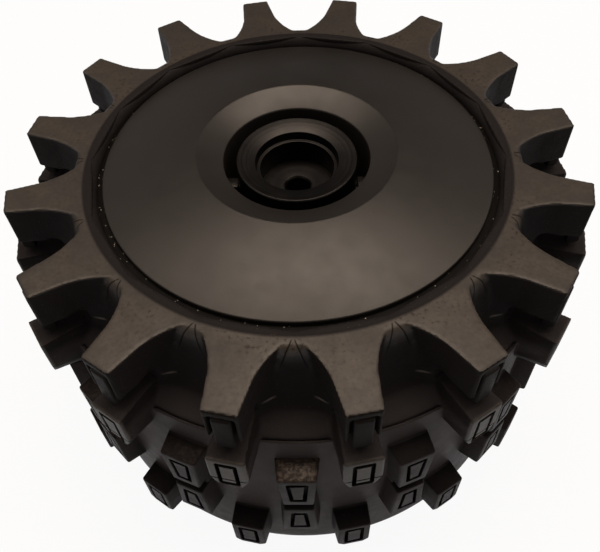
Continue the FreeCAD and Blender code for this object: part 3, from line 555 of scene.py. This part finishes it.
def rubber_finish():
    """Black moulded rubber: a brownish dust bloom with painted light on the upper sides, painted shade in
    the pockets, creases and grooves, and painted highlights; mottled, with worn block ends.
    """
    found = bpy.data.materials.get("moulded_rubber")
    if found:
        return found
    finish, tree, shader = new_finish("moulded_rubber")
    shades = colours()
    grain = grain_of(tree, 1900.0, 210.0, 60.0)
    specks = use_group(tree, "dust_specks", {"Scale": 900.0, "Amount": 0.10, "Size": 0.22})
    creases = use_group(tree, "pocket_creases", {
        "Count": sizes().paddle_count, "Top": sizes().paddle_top})
    cloudy = ramp(tree, grain["Mottle"], 0.36, 0.66)
    patches = ramp(tree, grain["Wave"], 0.46, 0.58)

    # Where a point lies and where its surface faces
    place = tree.nodes.new("ShaderNodeTexCoord").outputs
    spot = place_node(tree, "ShaderNodeSeparateXYZ", {0: place["Object"]}).outputs
    height = spot[2]
    reach = axis_distance(tree, place["Object"])
    step = creases["Step"]
    facing = place_node(tree, "ShaderNodeSeparateXYZ", {0: place["Normal"]}).outputs[2]
    upward = ramp(tree, facing, 0.35, 0.95)
    along = place_node(tree, "ShaderNodeVectorMath", {
        0: place["Normal"], 1: place["Object"]}, operation="DOT_PRODUCT").outputs["Value"]
    outward = calc(tree, "DIVIDE", calc(tree, "SUBTRACT", along, times(tree, facing, height)), reach)

    # Masks of the tyre's zones
    high = ramp(tree, height, 0.126, 0.133)
    beyond_lip = ramp(tree, reach, 0.0782, 0.0792)
    tip_edge = times(tree, ramp(tree, outward, 0.05, 0.8), ramp(tree, reach, 0.100, 0.104))
    tip_face = times(
        tree, tip_edge, ramp(tree, height, 0.1185, 0.1195), ramp(tree, reach, 0.1064, 0.1062))
    tops = times(tree, ramp(tree, facing, 0.1, 0.6), high, beyond_lip, rest(tree, tip_edge))
    lip = times(tree, high, rest(tree, beyond_lip))
    running = ramp(tree, reach, 0.1088, 0.1096)
    faces = times(
        tree, ramp(tree, reach, 0.1050, 0.1058), ramp(tree, outward, 0.85, 0.95),
        ramp(tree, height, 0.095, 0.093))
    shelf = times(
        tree, ramp(tree, facing, 0.45, 0.95), ramp(tree, height, 0.113, 0.107),
        ramp(tree, height, 0.1035, 0.1043))
    steep = times(tree, ramp(tree, height, 0.1055, 0.1085), ramp(tree, facing, 0.75, 0.35))
    notch = times(tree, band(tree, height, 0.1105, 0.1245, 0.002), ramp(tree, facing, 0.95, 0.6))
    ends = times(tree, upward, ramp(tree, height, 0.094, 0.093))
    drum = times(tree, ramp(tree, height, 0.1046, 0.1036), ramp(tree, reach, 0.0992, 0.0986))
    on_half = ramp(tree, step, 0.405, 0.412)
    on_centre = ramp(tree, step, 0.102, 0.096)
    # Floors of the blocks' grooves, which get painted shade below
    grooves = most(tree, *(
        times(tree, band(tree, height, start, end, 0.0002), ramp(tree, reach, face, face - 0.0005), row)
        for start, end, face, row in (
            (0.0938, 0.1105, 0.1097, on_half), (0.0246, 0.0403, 0.1065, on_half),
            (0.0466, 0.0625, 0.1059, on_centre), (0.0735, 0.0894, 0.1059, on_centre))))

    # Masks of wear and of marks, of painted shade in the creases and grooves, and of painted highlights
    pits = times(
        tree, ramp(tree, grain["Crumb"], 0.42, 0.32), patches,
        ramp(tree, reach, 0.092, 0.082, 0.25, 1.0), tops)
    foremost = times(
        tree, ramp(tree, spot[1], -0.0970, -0.0985),
        ramp(tree, calc(tree, "ABSOLUTE", spot[0]), 0.016, 0.012))
    worn = times(
        tree, upward, band(tree, height, 0.0915, 0.0925, 0.001),
        most(tree, times(tree, patches, 0.12), foremost),
        ramp(tree, grain["Crumb"], 0.44, 0.60, 0.3, 1.0))
    # Painted shade: dark lines in the pockets' creases and black floors in the blocks' grooves.
    creased = times(
        tree, creases["Mask"], ramp(tree, reach, 0.094, 0.090), ramp(tree, reach, 0.0792, 0.0800))
    sunk = most(tree, times(tree, creased, 0.8), grooves)
    # Painted highlights in the pockets.
    painted_highlights = times(tree, creases["Strokes"], ramp(tree, reach, 0.093, 0.091))

    black = (0.003, 0.0026, 0.0025, 1)
    tip_brown = (0.009, 0.0075, 0.0062, 1)
    highlight_grey = (0.11, 0.105, 0.105, 1)
    # Painted light mixed with a real dust bloom: a lighter brown on the upward paddle tops and the outer
    # running faces, where the lamp's light falls.
    bloom = times(tree, most(tree, tops, running), ramp(tree, cloudy, 0.0, 1.0, 0.68, 1.0))
    dust = blend(tree, ramp(tree, grain["Wave"], 0.40, 0.62), shades.bloom_and_painted_light, shades.warm_bloom_and_painted_light)
    colour = shades.rubber
    for mask, shade in (
        # Painted shade: the steep faces up among the paddles, the lip, the notches under the paddles and
        # the upward ends and tops of the lower blocks are darkened where shade falls.
        (most(tree, steep, lip, notch, ends), toned(shades.rubber, 0.5)),
        # Painted light: lighter grey on the pockets' floors and on the drum.
        (most(tree, times(tree, shelf, 0.45), drum), shades.painted_lit_grey),
        (bloom, dust),
        (times(tree, pits, 0.5), black),
        (worn, shades.rubber_worn),
        # Painted shade in the creases and grooves.
        (sunk, black),
        (tip_face, tip_brown),
        (painted_highlights, highlight_grey),
        (times(tree, specks["Mask"], 0.30), shades.rubber_worn),
    ):
        colour = blend(tree, mask, colour, shade)
    tree.links.new(colour, shader.inputs["Base Color"])
    tree.links.new(ramp(tree, cloudy, 0.0, 1.0, 0.40, 0.52), shader.inputs["Roughness"])
    shader.inputs["Specular IOR Level"].default_value = 0.013

    # Polish, broken up like leather on the paddles' tops
    leathery = times(
        tree, ramp(tree, grain["Crumb"], 0.40, 0.64, 0.92, 1.10),
        ramp(tree, cloudy, 0.0, 1.0, 0.62, 0.84), ramp(tree, grain["Wave"], 0.35, 0.65, 0.90, 1.12),
        ramp(tree, pits, 0.0, 1.0, 1.0, 0.6))
    polish = most(tree, times(tree, tops, leathery), *(
        times(tree, zone, amount)
        for zone, amount in ((running, 0.31), (faces, 0.08), (worn, 0.8), (lip, 0.10), (drum, 0.05))))
    tree.links.new(times(tree, polish, rest(tree, sunk)), shader.inputs["Coat Weight"])
    shader.inputs["Coat Roughness"].default_value = 0.45
    shader.inputs["Coat IOR"].default_value = 1.5
    add_bump(tree, shader, (
        (grain["Wave"], 0.15, 0.0015),
        (grain["Mottle"], 0.24, 0.0006),
        (grain["Grain"], 0.50, 0.0003),
        (times(tree, grain["Crumb"], patches), 0.25, 0.0008),
        (times(tree, worn, grain["Crumb"]), 0.8, 0.0012),
    ))
    return finish


def cover_finish():
    """Satin black plastic with a fine grain and faint scuffs."""
    finish, tree, shader = new_finish("satin_cover_plastic")
    shades = colours()
    grain = grain_of(tree, 2600.0, 120.0, 30.0)
    scuffs = use_group(tree, "fine_scuffs", {"Scale": 55.0, "Turn": 0.5})
    specks = use_group(tree, "dust_specks", {"Scale": 420.0, "Amount": 0.05, "Size": 0.16})
    cloudy = ramp(tree, grain["Mottle"], 0.34, 0.68)
    rubbed = times(tree, scuffs["Mask"], ramp(tree, cloudy, 0.0, 1.0, 0.05, 0.18))
    colour = blend(tree, rubbed, shades.cover, shades.cover_scuff)
    colour = blend(tree, times(tree, specks["Mask"], 0.35), colour, shades.cover_scuff)
    tree.links.new(colour, shader.inputs["Base Color"])
    rough = calc(tree, "ADD", ramp(tree, cloudy, 0.0, 1.0, 0.325, 0.395), times(tree, rubbed, 0.12))
    tree.links.new(rough, shader.inputs["Roughness"])
    shader.inputs["Specular IOR Level"].default_value = 0.36
    add_bump(tree, shader, ((grain["Wave"], 0.04, 0.0010), (grain["Grain"], 0.10, 0.00015)))
    return finish


def rim_finish():
    """Black moulded plastic with dust caught beside the cover, and painted shade on the flange seen
    through the gap.
    """
    finish, tree, shader = new_finish("moulded_rim_plastic")
    shades = colours()
    grain = grain_of(tree, 1500.0, 90.0, 25.0)
    specks = use_group(tree, "dust_specks", {"Scale": 1300.0, "Amount": 0.13, "Size": 0.28})
    place = tree.nodes.new("ShaderNodeTexCoord").outputs["Object"]
    height = place_node(tree, "ShaderNodeSeparateXYZ", {0: place}).outputs[2]
    gap = ramp(tree, height, 0.1322, 0.1326)
    painted_gap_shade = (0.003, 0.003, 0.003, 1)
    cloudy = ramp(tree, grain["Mottle"], 0.3, 0.7)
    shade = blend(tree, ramp(tree, cloudy, 0.0, 1.0, 0.0, 0.35), shades.rim, shades.cover_scuff)
    # Painted shade: the flange's top in the gap beside the cover is darkened to near black.
    shade = blend(tree, gap, shade, painted_gap_shade)
    shade = blend(tree, times(tree, specks["Mask"], gap), shade, shades.dust)
    tree.links.new(shade, shader.inputs["Base Color"])
    tree.links.new(ramp(tree, cloudy, 0.0, 1.0, 0.45, 0.6), shader.inputs["Roughness"])
    shader.inputs["Specular IOR Level"].default_value = 0.06
    add_bump(tree, shader, ((grain["Wave"], 0.06, 0.0008), (grain["Grain"], 0.15, 0.0002)))
    return finish


def hub_finish():
    """Blackened metal with fine turning rings."""
    finish, tree, shader = new_finish("blackened_hub_metal")
    shades = colours()
    rings = use_group(tree, "turning_rings", {"Pitch Scale": 2600.0})["Rings"]
    grain = grain_of(tree, 900.0, 130.0, 40.0)
    line = ramp(tree, rings, 0.35, 0.7)
    tree.links.new(blend(tree, line, toned(shades.hub, 0.55), shades.hub), shader.inputs["Base Color"])
    shader.inputs["Metallic"].default_value = 1.0
    rough = calc(
        tree, "ADD", ramp(tree, line, 0.0, 1.0, 0.30, 0.40),
        ramp(tree, grain["Mottle"], 0.4, 0.7, 0.0, 0.08))
    tree.links.new(rough, shader.inputs["Roughness"])
    add_bump(tree, shader, ((rings, 0.25, 0.00008), (grain["Grain"], 0.05, 0.0001)))
    return finish


def steel_finish():
    """Bright plating, slightly clouded."""
    found = bpy.data.materials.get("zinc_plated_steel")
    if found:
        return found
    finish, tree, shader = new_finish("zinc_plated_steel")
    shades = colours()
    grain = grain_of(tree, 2200.0, 300.0, 90.0)
    cloudy = ramp(tree, grain["Mottle"], 0.35, 0.65)
    shade = blend(tree, cloudy, toned(shades.steel, 0.6), shades.steel)
    tree.links.new(shade, shader.inputs["Base Color"])
    shader.inputs["Metallic"].default_value = 1.0
    tree.links.new(ramp(tree, cloudy, 0.0, 1.0, 0.42, 0.28), shader.inputs["Roughness"])
    add_bump(tree, shader, ((grain["Grain"], 0.08, 0.0001),))
    return finish


def floor_finish(stage):
    """A nearly even white floor that takes soft shadows and can be looked through from below."""
    finish, tree, shader = new_finish("pale_floor")
    shader.inputs["Base Color"].default_value = stage.floor
    shader.inputs["Roughness"].default_value = 0.9
    white = place_node(tree, "ShaderNodeEmission", {"Color": (1, 1, 1, 1), "Strength": 1.0})
    path = tree.nodes.new("ShaderNodeLightPath").outputs
    seen = most(tree, path["Is Camera Ray"], path["Is Glossy Ray"], path["Is Transmission Ray"])
    mix = place_node(tree, "ShaderNodeMixShader", {
        0: times(tree, seen, 0.93), 1: shader.outputs[0], 2: white.outputs[0]})
    clear = tree.nodes.new("ShaderNodeBsdfTransparent")
    below = tree.nodes.new("ShaderNodeNewGeometry").outputs["Backfacing"]
    mix = place_node(tree, "ShaderNodeMixShader", {0: below, 1: mix.outputs[0], 2: clear.outputs[0]})
    tree.links.new(mix.outputs[0], tree.nodes["Material Output"].inputs["Surface"])
    return finish


def studio_room(stage):
    """A dim room, paler on both sides and along the horizon."""
    world = bpy.data.worlds.new("studio")
    world.use_nodes = True
    tree = world.node_tree
    view = tree.nodes.new("ShaderNodeTexCoord").outputs["Generated"]
    way = place_node(tree, "ShaderNodeSeparateXYZ", {0: view}).outputs
    aside = ramp(tree, calc(tree, "ABSOLUTE", way[0]), 0.10, 0.60)
    height = ramp(tree, way[2], 0.0, 0.07)
    walls = blend(tree, aside, stage.surround, stage.sides)
    tree.links.new(blend(tree, height, stage.horizon, walls), tree.nodes["Background"].inputs["Color"])
    return world


# Pieces


class WHEEL_OT_tyre_carcass(bpy.types.Operator):
    """Turns the tyre's ring: bead lips, sidewalls, drum and the hollow inside"""

    bl_idname = "wheel.tyre_carcass"
    bl_label = "Tyre Carcass"

    def execute(self, context):
        drum = sizes().drum / MM
        section = (
            (74.2, 133), (77, 133), (77, 129), (70, 129), (70, 110), (77, 108.4), (91.2, 96.7),
            (91.2, 16), (87.2, 8), (79, 8), (77, 27), (70, 27), (70, 8), (77, 8), (77, 4), (74.2, 4),
            (74.2, 0, 1.0), (drum - 12, 0, 0.2), (drum - 6.6, 1.3), (drum - 3.4, 3.6), (drum - 1.2, 7.2),
            (drum, 12, 2.0), (drum, 104.5, 0.25), (97.7, 104.5, 0.15), (97.5, 103.5), (96.4, 103.5),
            (93.4, 104.9), (87.6, 109.6), (84, 116.6), (82, 124), (79.4, 134), (78.95, 136),
            (78.7, 137.05, 0.2),
        ) + tuple(reversed(arc((74.2, 133), (78.4, 137.15), 4.5, 9)[:-1]))
        piece = turned("tyre_carcass", section, sizes().turned_steps)
        settle(piece, ("tyre",), rubber_finish(), angle=50)
        return {"FINISHED"}


def paddle_plan(half_tip, tip, slot=None):
    """The flared plan of one paddle at the front, in millimetres, with an optional slot in its tip."""
    flare_start, root, flank_radius = 93.7, 78.9, 33.0
    flare_angle = math.radians(6.2)
    root_angle = math.radians(11.15)
    flare_half = half_tip + (tip - flare_start) * math.tan(flare_angle)
    foot = (root * math.sin(root_angle), -root * math.cos(root_angle))
    flank = arc((flare_half, -flare_start), foot, flank_radius, 12)
    right = [(half_tip, -tip), (flare_half, -flare_start)] + flank + [(foot[0], foot[1] + 2.4)]
    left = [(-x, y) for x, y in reversed(right)]
    if slot is None:
        return left + right
    half_slot, depth = slot
    notch = [(-half_slot, -tip), (-half_slot, depth - tip), (half_slot, depth - tip), (half_slot, -tip)]
    return left + notch + right


def paddle_solids(top, underside, tip):
    """The solids of one paddle at the front: its cap, slotted body, rib and the fillet under its end."""
    half_tip, slot, slot_top = 5.6, (4.25, 2.5), 133.7
    rib_half, rib_radius, rib_foot = 6.6, 90.7, 104
    plan = paddle_plan(half_tip, tip)
    rib_plan = [(x, y) for x, y in plan if y > -rib_radius]
    tip_place = len(rib_plan) // 2
    rib_plan[tip_place:tip_place] = [(-rib_half, -rib_radius), (rib_half, -rib_radius)]
    solids = []
    for name, outline, low, high in (
        ("paddle_cap", plan, slot_top, top),
        ("paddle_body", paddle_plan(half_tip, tip, slot), underside, slot_top + 0.2),
        ("paddle_rib", rib_plan, rib_foot, underside + 1),
    ):
        solids.append(padded_outline(name, [(x, y, low) for x, y in outline], (0, 0, high - low)))
        close_solid()
    fillet, fillet_half, sunk = 3.0, 6.4, 2
    edge = -rib_radius - fillet
    back = -rib_radius + sunk
    side = [(edge, underside)] + arc((edge, underside), (-rib_radius, underside - fillet), fillet, 5) + [
        (back, underside - fillet), (back, underside + sunk), (edge, underside + sunk)]
    solids.append(padded_outline(
        "notch_fillet", [(-fillet_half, y, z) for y, z in side], (2 * fillet_half, 0, 0)))
    close_solid()
    return solids


def outer_block():
    """The outer tread block under a paddle at the front, widest at the middle of its root."""
    corner, slope, waist, crown = 2.4, 5, 104.7, 112.2
    solid = lofted("outer_block", [
        [(x, -radius, z) for x, z in (
            (-wide, low + slope), (corner - wide, low), (wide - corner, low), (wide, low + slope),
            (middle, waist), (high, crown), (-high, crown), (-middle, waist))]
        for radius, wide, middle, high, low in (
            (OUTER_FACE, 6.6, 6.6, 6.5, 93.3), (BLOCK_ROOT, 6.1, 7.7, 5.6, 90.0),
            (88.3, 6.0, 7.6, 5.4, 92.0))])
    close_solid()
    return solid


def pocket_weight(place):
    """How far a point lies in a pocket between two paddles, where the walls flow into each other."""
    step = 360 / sizes().paddle_count
    angle = math.degrees(math.atan2(place.x, -place.y))
    aside = abs((angle + step / 2) % step - step / 2)
    radius = math.hypot(place.x, place.y)
    deep = rise(place.z, 131.0, 120.0)
    between = 1 - rise(aside, 6.6, 8.0)
    within = (1 - 0.5 * rise(radius, 90, 94)) * (1 - rise(radius, 95, 97.2))
    return deep * between * within


class WHEEL_OT_paddle_ring(bpy.types.Operator):
    """Moulds the paddles, their ribs and outer blocks with the ring that carries them, as one form"""

    bl_idname = "wheel.paddle_ring"
    bl_label = "Paddle Ring"

    def execute(self, context):
        size = sizes()
        top = size.paddle_top / MM
        ring = turned("paddle_ring", (
            (77, top), (80.0, top), (81.5, top - 0.3), (82.6, top - 1.2), (83.4, top - 3),
            (84.0, top - 6), (84.7, 125), (85.7, 117.5), (88, 111), (92.5, 107), (96.5, 105.4),
            (97.0, 104.9), (97.0, 102), (92, 101), (77, 101)), size.turned_steps)
        parts = paddle_solids(top, size.paddle_underside / MM, size.paddle_tip / MM) + [outer_block()]
        for part in parts:
            ring_of(part, size.paddle_count, half_step=True)
        piece = joined([ring] + parts)
        finish_with(piece, "REMESH", mode="VOXEL", voxel_size=size.mould_step, adaptivity=0.0)
        weigh(piece, "pockets", pocket_weight)
        finish_with(piece, "SMOOTH", factor=0.5, iterations=260, vertex_group="pockets")
        finish_with(piece, "SMOOTH", factor=0.5, iterations=5)
        piece.vertex_groups.clear()
        finish_with(piece, "DECIMATE", ratio=0.27)
        frame_corners = ((-3.7, 94.0), (3.7, 94.0), (3.7, 110.3), (-3.7, 110.3))
        grooves = groove_frame("outer_grooves", frame_corners, rounding=1.0, radius=OUTER_FACE)
        ring_of(grooves, size.paddle_count, half_step=True)
        carve(piece, grooves)
        parting = padded_slab(
            "parting_line", half=7.2, radius=OUTER_FACE + 0.6, low=98.0, high=98.75, depth=1.5)
        close_solid()
        ring_of(parting, size.paddle_count, half_step=True)
        carve(piece, parting)
        settle(piece, ("tyre",), rubber_finish(), angle=40)
        return {"FINISHED"}


class WHEEL_OT_paddle_tongues(bpy.types.Operator):
    """Sets the bevelled tongues into the slots at the paddles' tips"""

    bl_idname = "wheel.paddle_tongues"
    bl_label = "Paddle Tongues"

    def execute(self, context):
        proud, chamfer, half, back, foot, top = 0.4, 1.6, 3.15, 101.5, 113.8, 132.6
        face = sizes().paddle_tip / MM + proud
        side = (
            (-face, foot + chamfer), (chamfer - face, foot), (-back, foot), (-back, top), (-face, top))
        piece = padded_outline("paddle_tongues", [(-half, y, z) for y, z in side], (2 * half, 0, 0))
        close_solid()
        finish_with(piece, "BEVEL", width=0.9 * MM, segments=4, limit_method="ANGLE")
        ring_of(piece, sizes().paddle_count, half_step=True)
        settle(piece, ("tyre",), rubber_finish())
        return {"FINISHED"}


def groove_frame(name, corners, rounding, radius):
    """A frame inside corners given across and up, to be carved into a block's face."""
    start = -radius - GROOVE_DEPTH
    tool = drawn(name, [(x, start, z, rounding) for x, z in corners])
    bpy.ops.mesh.edge_face_add()
    bpy.ops.mesh.inset(thickness=GROOVE_WIDTH * MM)
    middle = (corners[0][1] + corners[2][1]) / 2
    bpy.ops.transform.resize(value=(1, 1, 0.86), center_override=Vector((0, start, middle)) * MM)
    bpy.ops.mesh.delete(type="FACE")
    bpy.ops.mesh.select_all(action="SELECT")
    bpy.ops.mesh.extrude_region_move(TRANSFORM_OT_translate={"value": (0, 2 * GROOVE_DEPTH * MM, 0)})
    close_solid()
    return tool


def spread_root(across, up, height):
    """Widens the selected root of a block, measured from a height."""
    centre = Vector((0, -BLOCK_ROOT, height)) * MM
    bpy.ops.transform.resize(value=(across, 1, up), center_override=centre)


class WHEEL_OT_centre_blocks(bpy.types.Operator):
    """Models the two halves of a centre block and copies them round the tyre"""

    bl_idname = "wheel.centre_blocks"
    bl_label = "Centre Blocks"

    def execute(self, context):
        middle, radius, waist, end, gap, length = 68.0, 106.2, 5.5, 6.7, 4.8, 21.4
        groove_margin, groove_length = 2.6, 15.5
        halves = []
        for side in (1, -1):
            near = middle + gap / 2 * side
            far = near + length * side
            outline = ((-waist, near), (waist, near), (end, far), (-end, far))
            corners = [(x, -radius, z) for x, z in outline]
            piece = padded_outline(f"centre_half_{side}", corners, (0, radius - BLOCK_ROOT, 0))
            spread_root(across=1.19, up=1.02, height=near)
            close_solid()
            finish_with(piece, "BEVEL", width=sizes().block_edge, segments=3, limit_method="ANGLE")
            outer = far - groove_margin * side
            inner = outer - groove_length * side
            frame_corners = ((-2.95, inner), (2.95, inner), (3.9, outer), (-3.9, outer))
            carve(piece, groove_frame(f"centre_groove_{side}", frame_corners, rounding=0.8, radius=radius))
            halves.append(piece)
        height = 5.8
        plinth = padded_slab(
            "centre_plinth", half=5.6, radius=BLOCK_ROOT + height, low=middle - 4.5, high=middle + 4.5,
            depth=height)
        spread_root(across=1.2, up=1, height=middle)
        close_solid()
        finish_with(plinth, "BEVEL", width=0.4 * MM, segments=2, limit_method="ANGLE")
        piece = joined(halves + [plinth])
        piece.name = "centre_blocks"
        ring_of(piece, sizes().paddle_count)
        settle(piece, ("tyre",), rubber_finish())
        return {"FINISHED"}


class WHEEL_OT_inner_blocks(bpy.types.Operator):
    """Models the grooved inner block and copies it round the tyre"""

    bl_idname = "wheel.inner_blocks"
    bl_label = "Inner Blocks"

    def execute(self, context):
        radius, low, high, half, corner = 106.8, 22.5, 42.3, 6.4, 2.4
        outline = (
            (-half, low + corner), (-half + corner, low), (half - corner, low), (half, low + corner),
            (half, high), (-half, high))
        corners = [(x, -radius, z) for x, z in outline]
        piece = padded_outline("inner_blocks", corners, (0, radius - BLOCK_ROOT, 0))
        spread_root(across=1.125, up=1.04, height=high)
        close_solid()
        finish_with(piece, "BEVEL", width=sizes().block_edge, segments=3, limit_method="ANGLE")
        frame_corners = ((-3.9, 24.8), (3.9, 24.8), (3.9, 40.1), (-3.9, 40.1))
        carve(piece, groove_frame("inner_groove", frame_corners, rounding=1.0, radius=radius))
        ring_of(piece, sizes().paddle_count, half_step=True)
        settle(piece, ("tyre",), rubber_finish())
        return {"FINISHED"}


class WHEEL_OT_face_cover(bpy.types.Operator):
    """Turns the conical face cover and adds its centring ribs and screw bosses"""

    bl_idname = "wheel.face_cover"
    bl_label = "Face Cover"

    def execute(self, context):
        edge = sizes().cover_edge / MM
        shell = turned("face_cover_shell", (
            (72, 132.85), (72, 134.85, edge), (36.6, 141.65, edge), (27, 137.45, edge), (27, 112.45),
            (29.5, 112.45), (29.5, 135.95), (36.6, 139.15), (68.5, 132.85)), sizes().turned_steps)
        rib = padded_slab("centring_ribs", half=2.5, radius=22.8, low=112.45, high=124.45, depth=-5.5)
        close_solid()
        finish_with(rib, "BEVEL", width=0.4 * MM, segments=2, limit_method="ANGLE")
        ring_of(rib, 4)
        boss_middle, boss_wall, hole_depth = 120.8, 2.55, 15
        boss = round_bar("screw_bosses", radius=4.6, length=35.6, place=(0, -46, boss_middle))
        pick_points(boss, lambda co: co.z < boss_middle * MM)
        bpy.ops.mesh.inset(thickness=boss_wall * MM)
        bpy.ops.mesh.extrude_region_move(TRANSFORM_OT_translate={"value": (0, 0, hole_depth * MM)})
        close_solid()
        ring_of(boss, 6, half_step=True)
        piece = joined([shell, rib, boss])
        piece.name = "face_cover_piece"
        settle(piece, ("face_cover",), cover_finish())
        return {"FINISHED"}


class WHEEL_OT_hub(bpy.types.Operator):
    """Turns the hub and cuts its keyway and screw holes"""

    bl_idname = "wheel.hub"
    bl_label = "Hub"

    def execute(self, context):
        piece = turned("turned_hub", (
            (22.5, 97), (22.5, 136.5, 0.2), (22, 137, 0.2), (15.5, 135.5, 0.25), (15, 132.3, 0.2),
            (13.8, 132.3, 0.3), (13.8, 122.6), (5.3, 122.6, 0.1), (4.5, 121.8, 0.1), (4.5, 112),
            (8, 112), (8, 71), (9, 70), (17, 70, 0.4), (17, 89, 0.6), (40, 89, 0.5), (40, 97, 0.3),
        ), sizes().turned_steps)
        keyway = padded_slab("keyway", half=2.5, radius=0, low=69, high=112, depth=10.3)
        close_solid()
        carve(piece, keyway)
        holes = round_bar("screw_holes", radius=3.3, length=20, place=(0, -31, 93))
        close_solid()
        ring_of(holes, 6)
        carve(piece, holes)
        settle(piece, ("hub",), hub_finish())
        return {"FINISHED"}


def smoothed_copy(node, rounding):
    """A merged copy of a CAD node with slightly rounded edges."""
    deselect_all()
    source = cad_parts[node]
    piece = bpy.data.objects.new(f"{node}_piece", source.data.copy())
    bpy.context.scene.collection.objects.link(piece)
    choose(piece)
    bpy.ops.object.mode_set(mode="EDIT")
    bpy.ops.mesh.select_all(action="SELECT")
    bpy.ops.mesh.remove_doubles(threshold=SAME_SPOT)
    bpy.ops.mesh.tris_convert_to_quads(face_threshold=0.05, shape_threshold=0.7)
    bpy.ops.object.mode_set(mode="OBJECT")
    finish_with(
        piece, "BEVEL", width=rounding, segments=2, limit_method="ANGLE", angle_limit=math.radians(40))
    return piece


class WHEEL_OT_rim_halves(bpy.types.Operator):
    """Softens the edges of the two rim halves"""

    bl_idname = "wheel.rim_halves"
    bl_label = "Rim Halves"

    def execute(self, context):
        finish = rim_finish()
        for node in ("rim_outer_half", "rim_inner_half"):
            settle(smoothed_copy(node, rounding=0.3 * MM), (node,), finish)
        return {"FINISHED"}


class WHEEL_OT_fasteners(bpy.types.Operator):
    """Softens the edges of screws, washers and nuts"""

    bl_idname = "wheel.fasteners"
    bl_label = "Fasteners"

    def execute(self, context):
        for node in (
            "rim_screws", "rim_washers", "rim_nuts", "hub_screws", "hub_washers", "hub_nuts",
            "cover_screws",
        ):
            settle(smoothed_copy(node, rounding=0.15 * MM), (node,), steel_finish())
        return {"FINISHED"}


class WHEEL_OT_stage(bpy.types.Operator):
    """Lays the floor, hangs the light and sets the camera"""

    bl_idname = "wheel.stage"
    bl_label = "Stage"

    def execute(self, context):
        stage = context.scene.wheel_stage
        deselect_all()
        bpy.ops.mesh.primitive_plane_add(size=FLOOR_SIZE)
        floor = bpy.context.object
        floor.name = "floor"
        floor.data.materials.append(floor_finish(stage))

        for name, place, across, deep, power in (
            ("overhead_light", (0.06, 0.21, 1.15), 0.75, 0.5, stage.overhead_power),
            ("ceiling_light", (0.22, 0.18, 1.25), 2.4, 0.6, stage.ceiling_power),
        ):
            bpy.ops.object.light_add(type="AREA", location=place)
            lamp = bpy.context.object
            lamp.name = name
            lamp.data.shape = "RECTANGLE"
            lamp.data.size = across
            lamp.data.size_y = deep
            lamp.data.energy = power
            lamp.data.color = stage.overhead

        context.scene.world = studio_room(stage)
        turn = CAMERA_AIM.normalized().to_track_quat("-Z", "Y").to_matrix().to_4x4()
        roll = Matrix.Rotation(CAMERA_ROLL, 4, "Z")
        bpy.ops.object.camera_add()
        camera = bpy.context.object
        camera.name = "photo_camera"
        camera.matrix_world = Matrix.Translation(CAMERA_PLACE) @ turn @ roll
        camera.data.lens = stage.lens
        camera.data.sensor_width = SENSOR_WIDTH
        camera.data.clip_start = 0.01
        context.scene.camera = camera
        context.scene.view_settings.view_transform = "Standard"
        return {"FINISHED"}


class WHEEL_PT_panel(bpy.types.Panel):
    """Lists the wheel's pieces and settings"""

    bl_label = "Mower Drive Wheel"
    bl_idname = "WHEEL_PT_panel"
    bl_space_type = "VIEW_3D"
    bl_region_type = "UI"
    bl_category = "Wheel"

    def draw(self, context):
        layout = self.layout
        for piece in PIECES:
            layout.operator(piece.bl_idname)
        for group in (context.scene.wheel_sizes, context.scene.wheel_colours, context.scene.wheel_stage):
            box = layout.box()
            for key in group.__annotations__:
                box.prop(group, key)


PIECES = (
    WHEEL_OT_tyre_carcass,
    WHEEL_OT_paddle_ring,
    WHEEL_OT_paddle_tongues,
    WHEEL_OT_centre_blocks,
    WHEEL_OT_inner_blocks,
    WHEEL_OT_face_cover,
    WHEEL_OT_hub,
    WHEEL_OT_rim_halves,
    WHEEL_OT_fasteners,
    WHEEL_OT_stage,
)
CLASSES = (WheelSizes, WheelColours, StageSettings) + PIECES + (WHEEL_PT_panel,)


def register():
    for item in CLASSES:
        bpy.utils.register_class(item)
    bpy.types.Scene.wheel_sizes = PointerProperty(type=WheelSizes)
    bpy.types.Scene.wheel_colours = PointerProperty(type=WheelColours)
    bpy.types.Scene.wheel_stage = PointerProperty(type=StageSettings)


def unregister():
    del bpy.types.Scene.wheel_stage
    del bpy.types.Scene.wheel_colours
    del bpy.types.Scene.wheel_sizes
    for item in reversed(CLASSES):
        bpy.utils.unregister_class(item)


def main():
    register()
    bpy.ops.wheel.tyre_carcass()
    bpy.ops.wheel.paddle_ring()
    bpy.ops.wheel.paddle_tongues()
    bpy.ops.wheel.centre_blocks()
    bpy.ops.wheel.inner_blocks()
    bpy.ops.wheel.face_cover()
    bpy.ops.wheel.hub()
    bpy.ops.wheel.rim_halves()
    bpy.ops.wheel.fasteners()
    bpy.ops.wheel.stage()


if __name__ == "__main__":
    main()
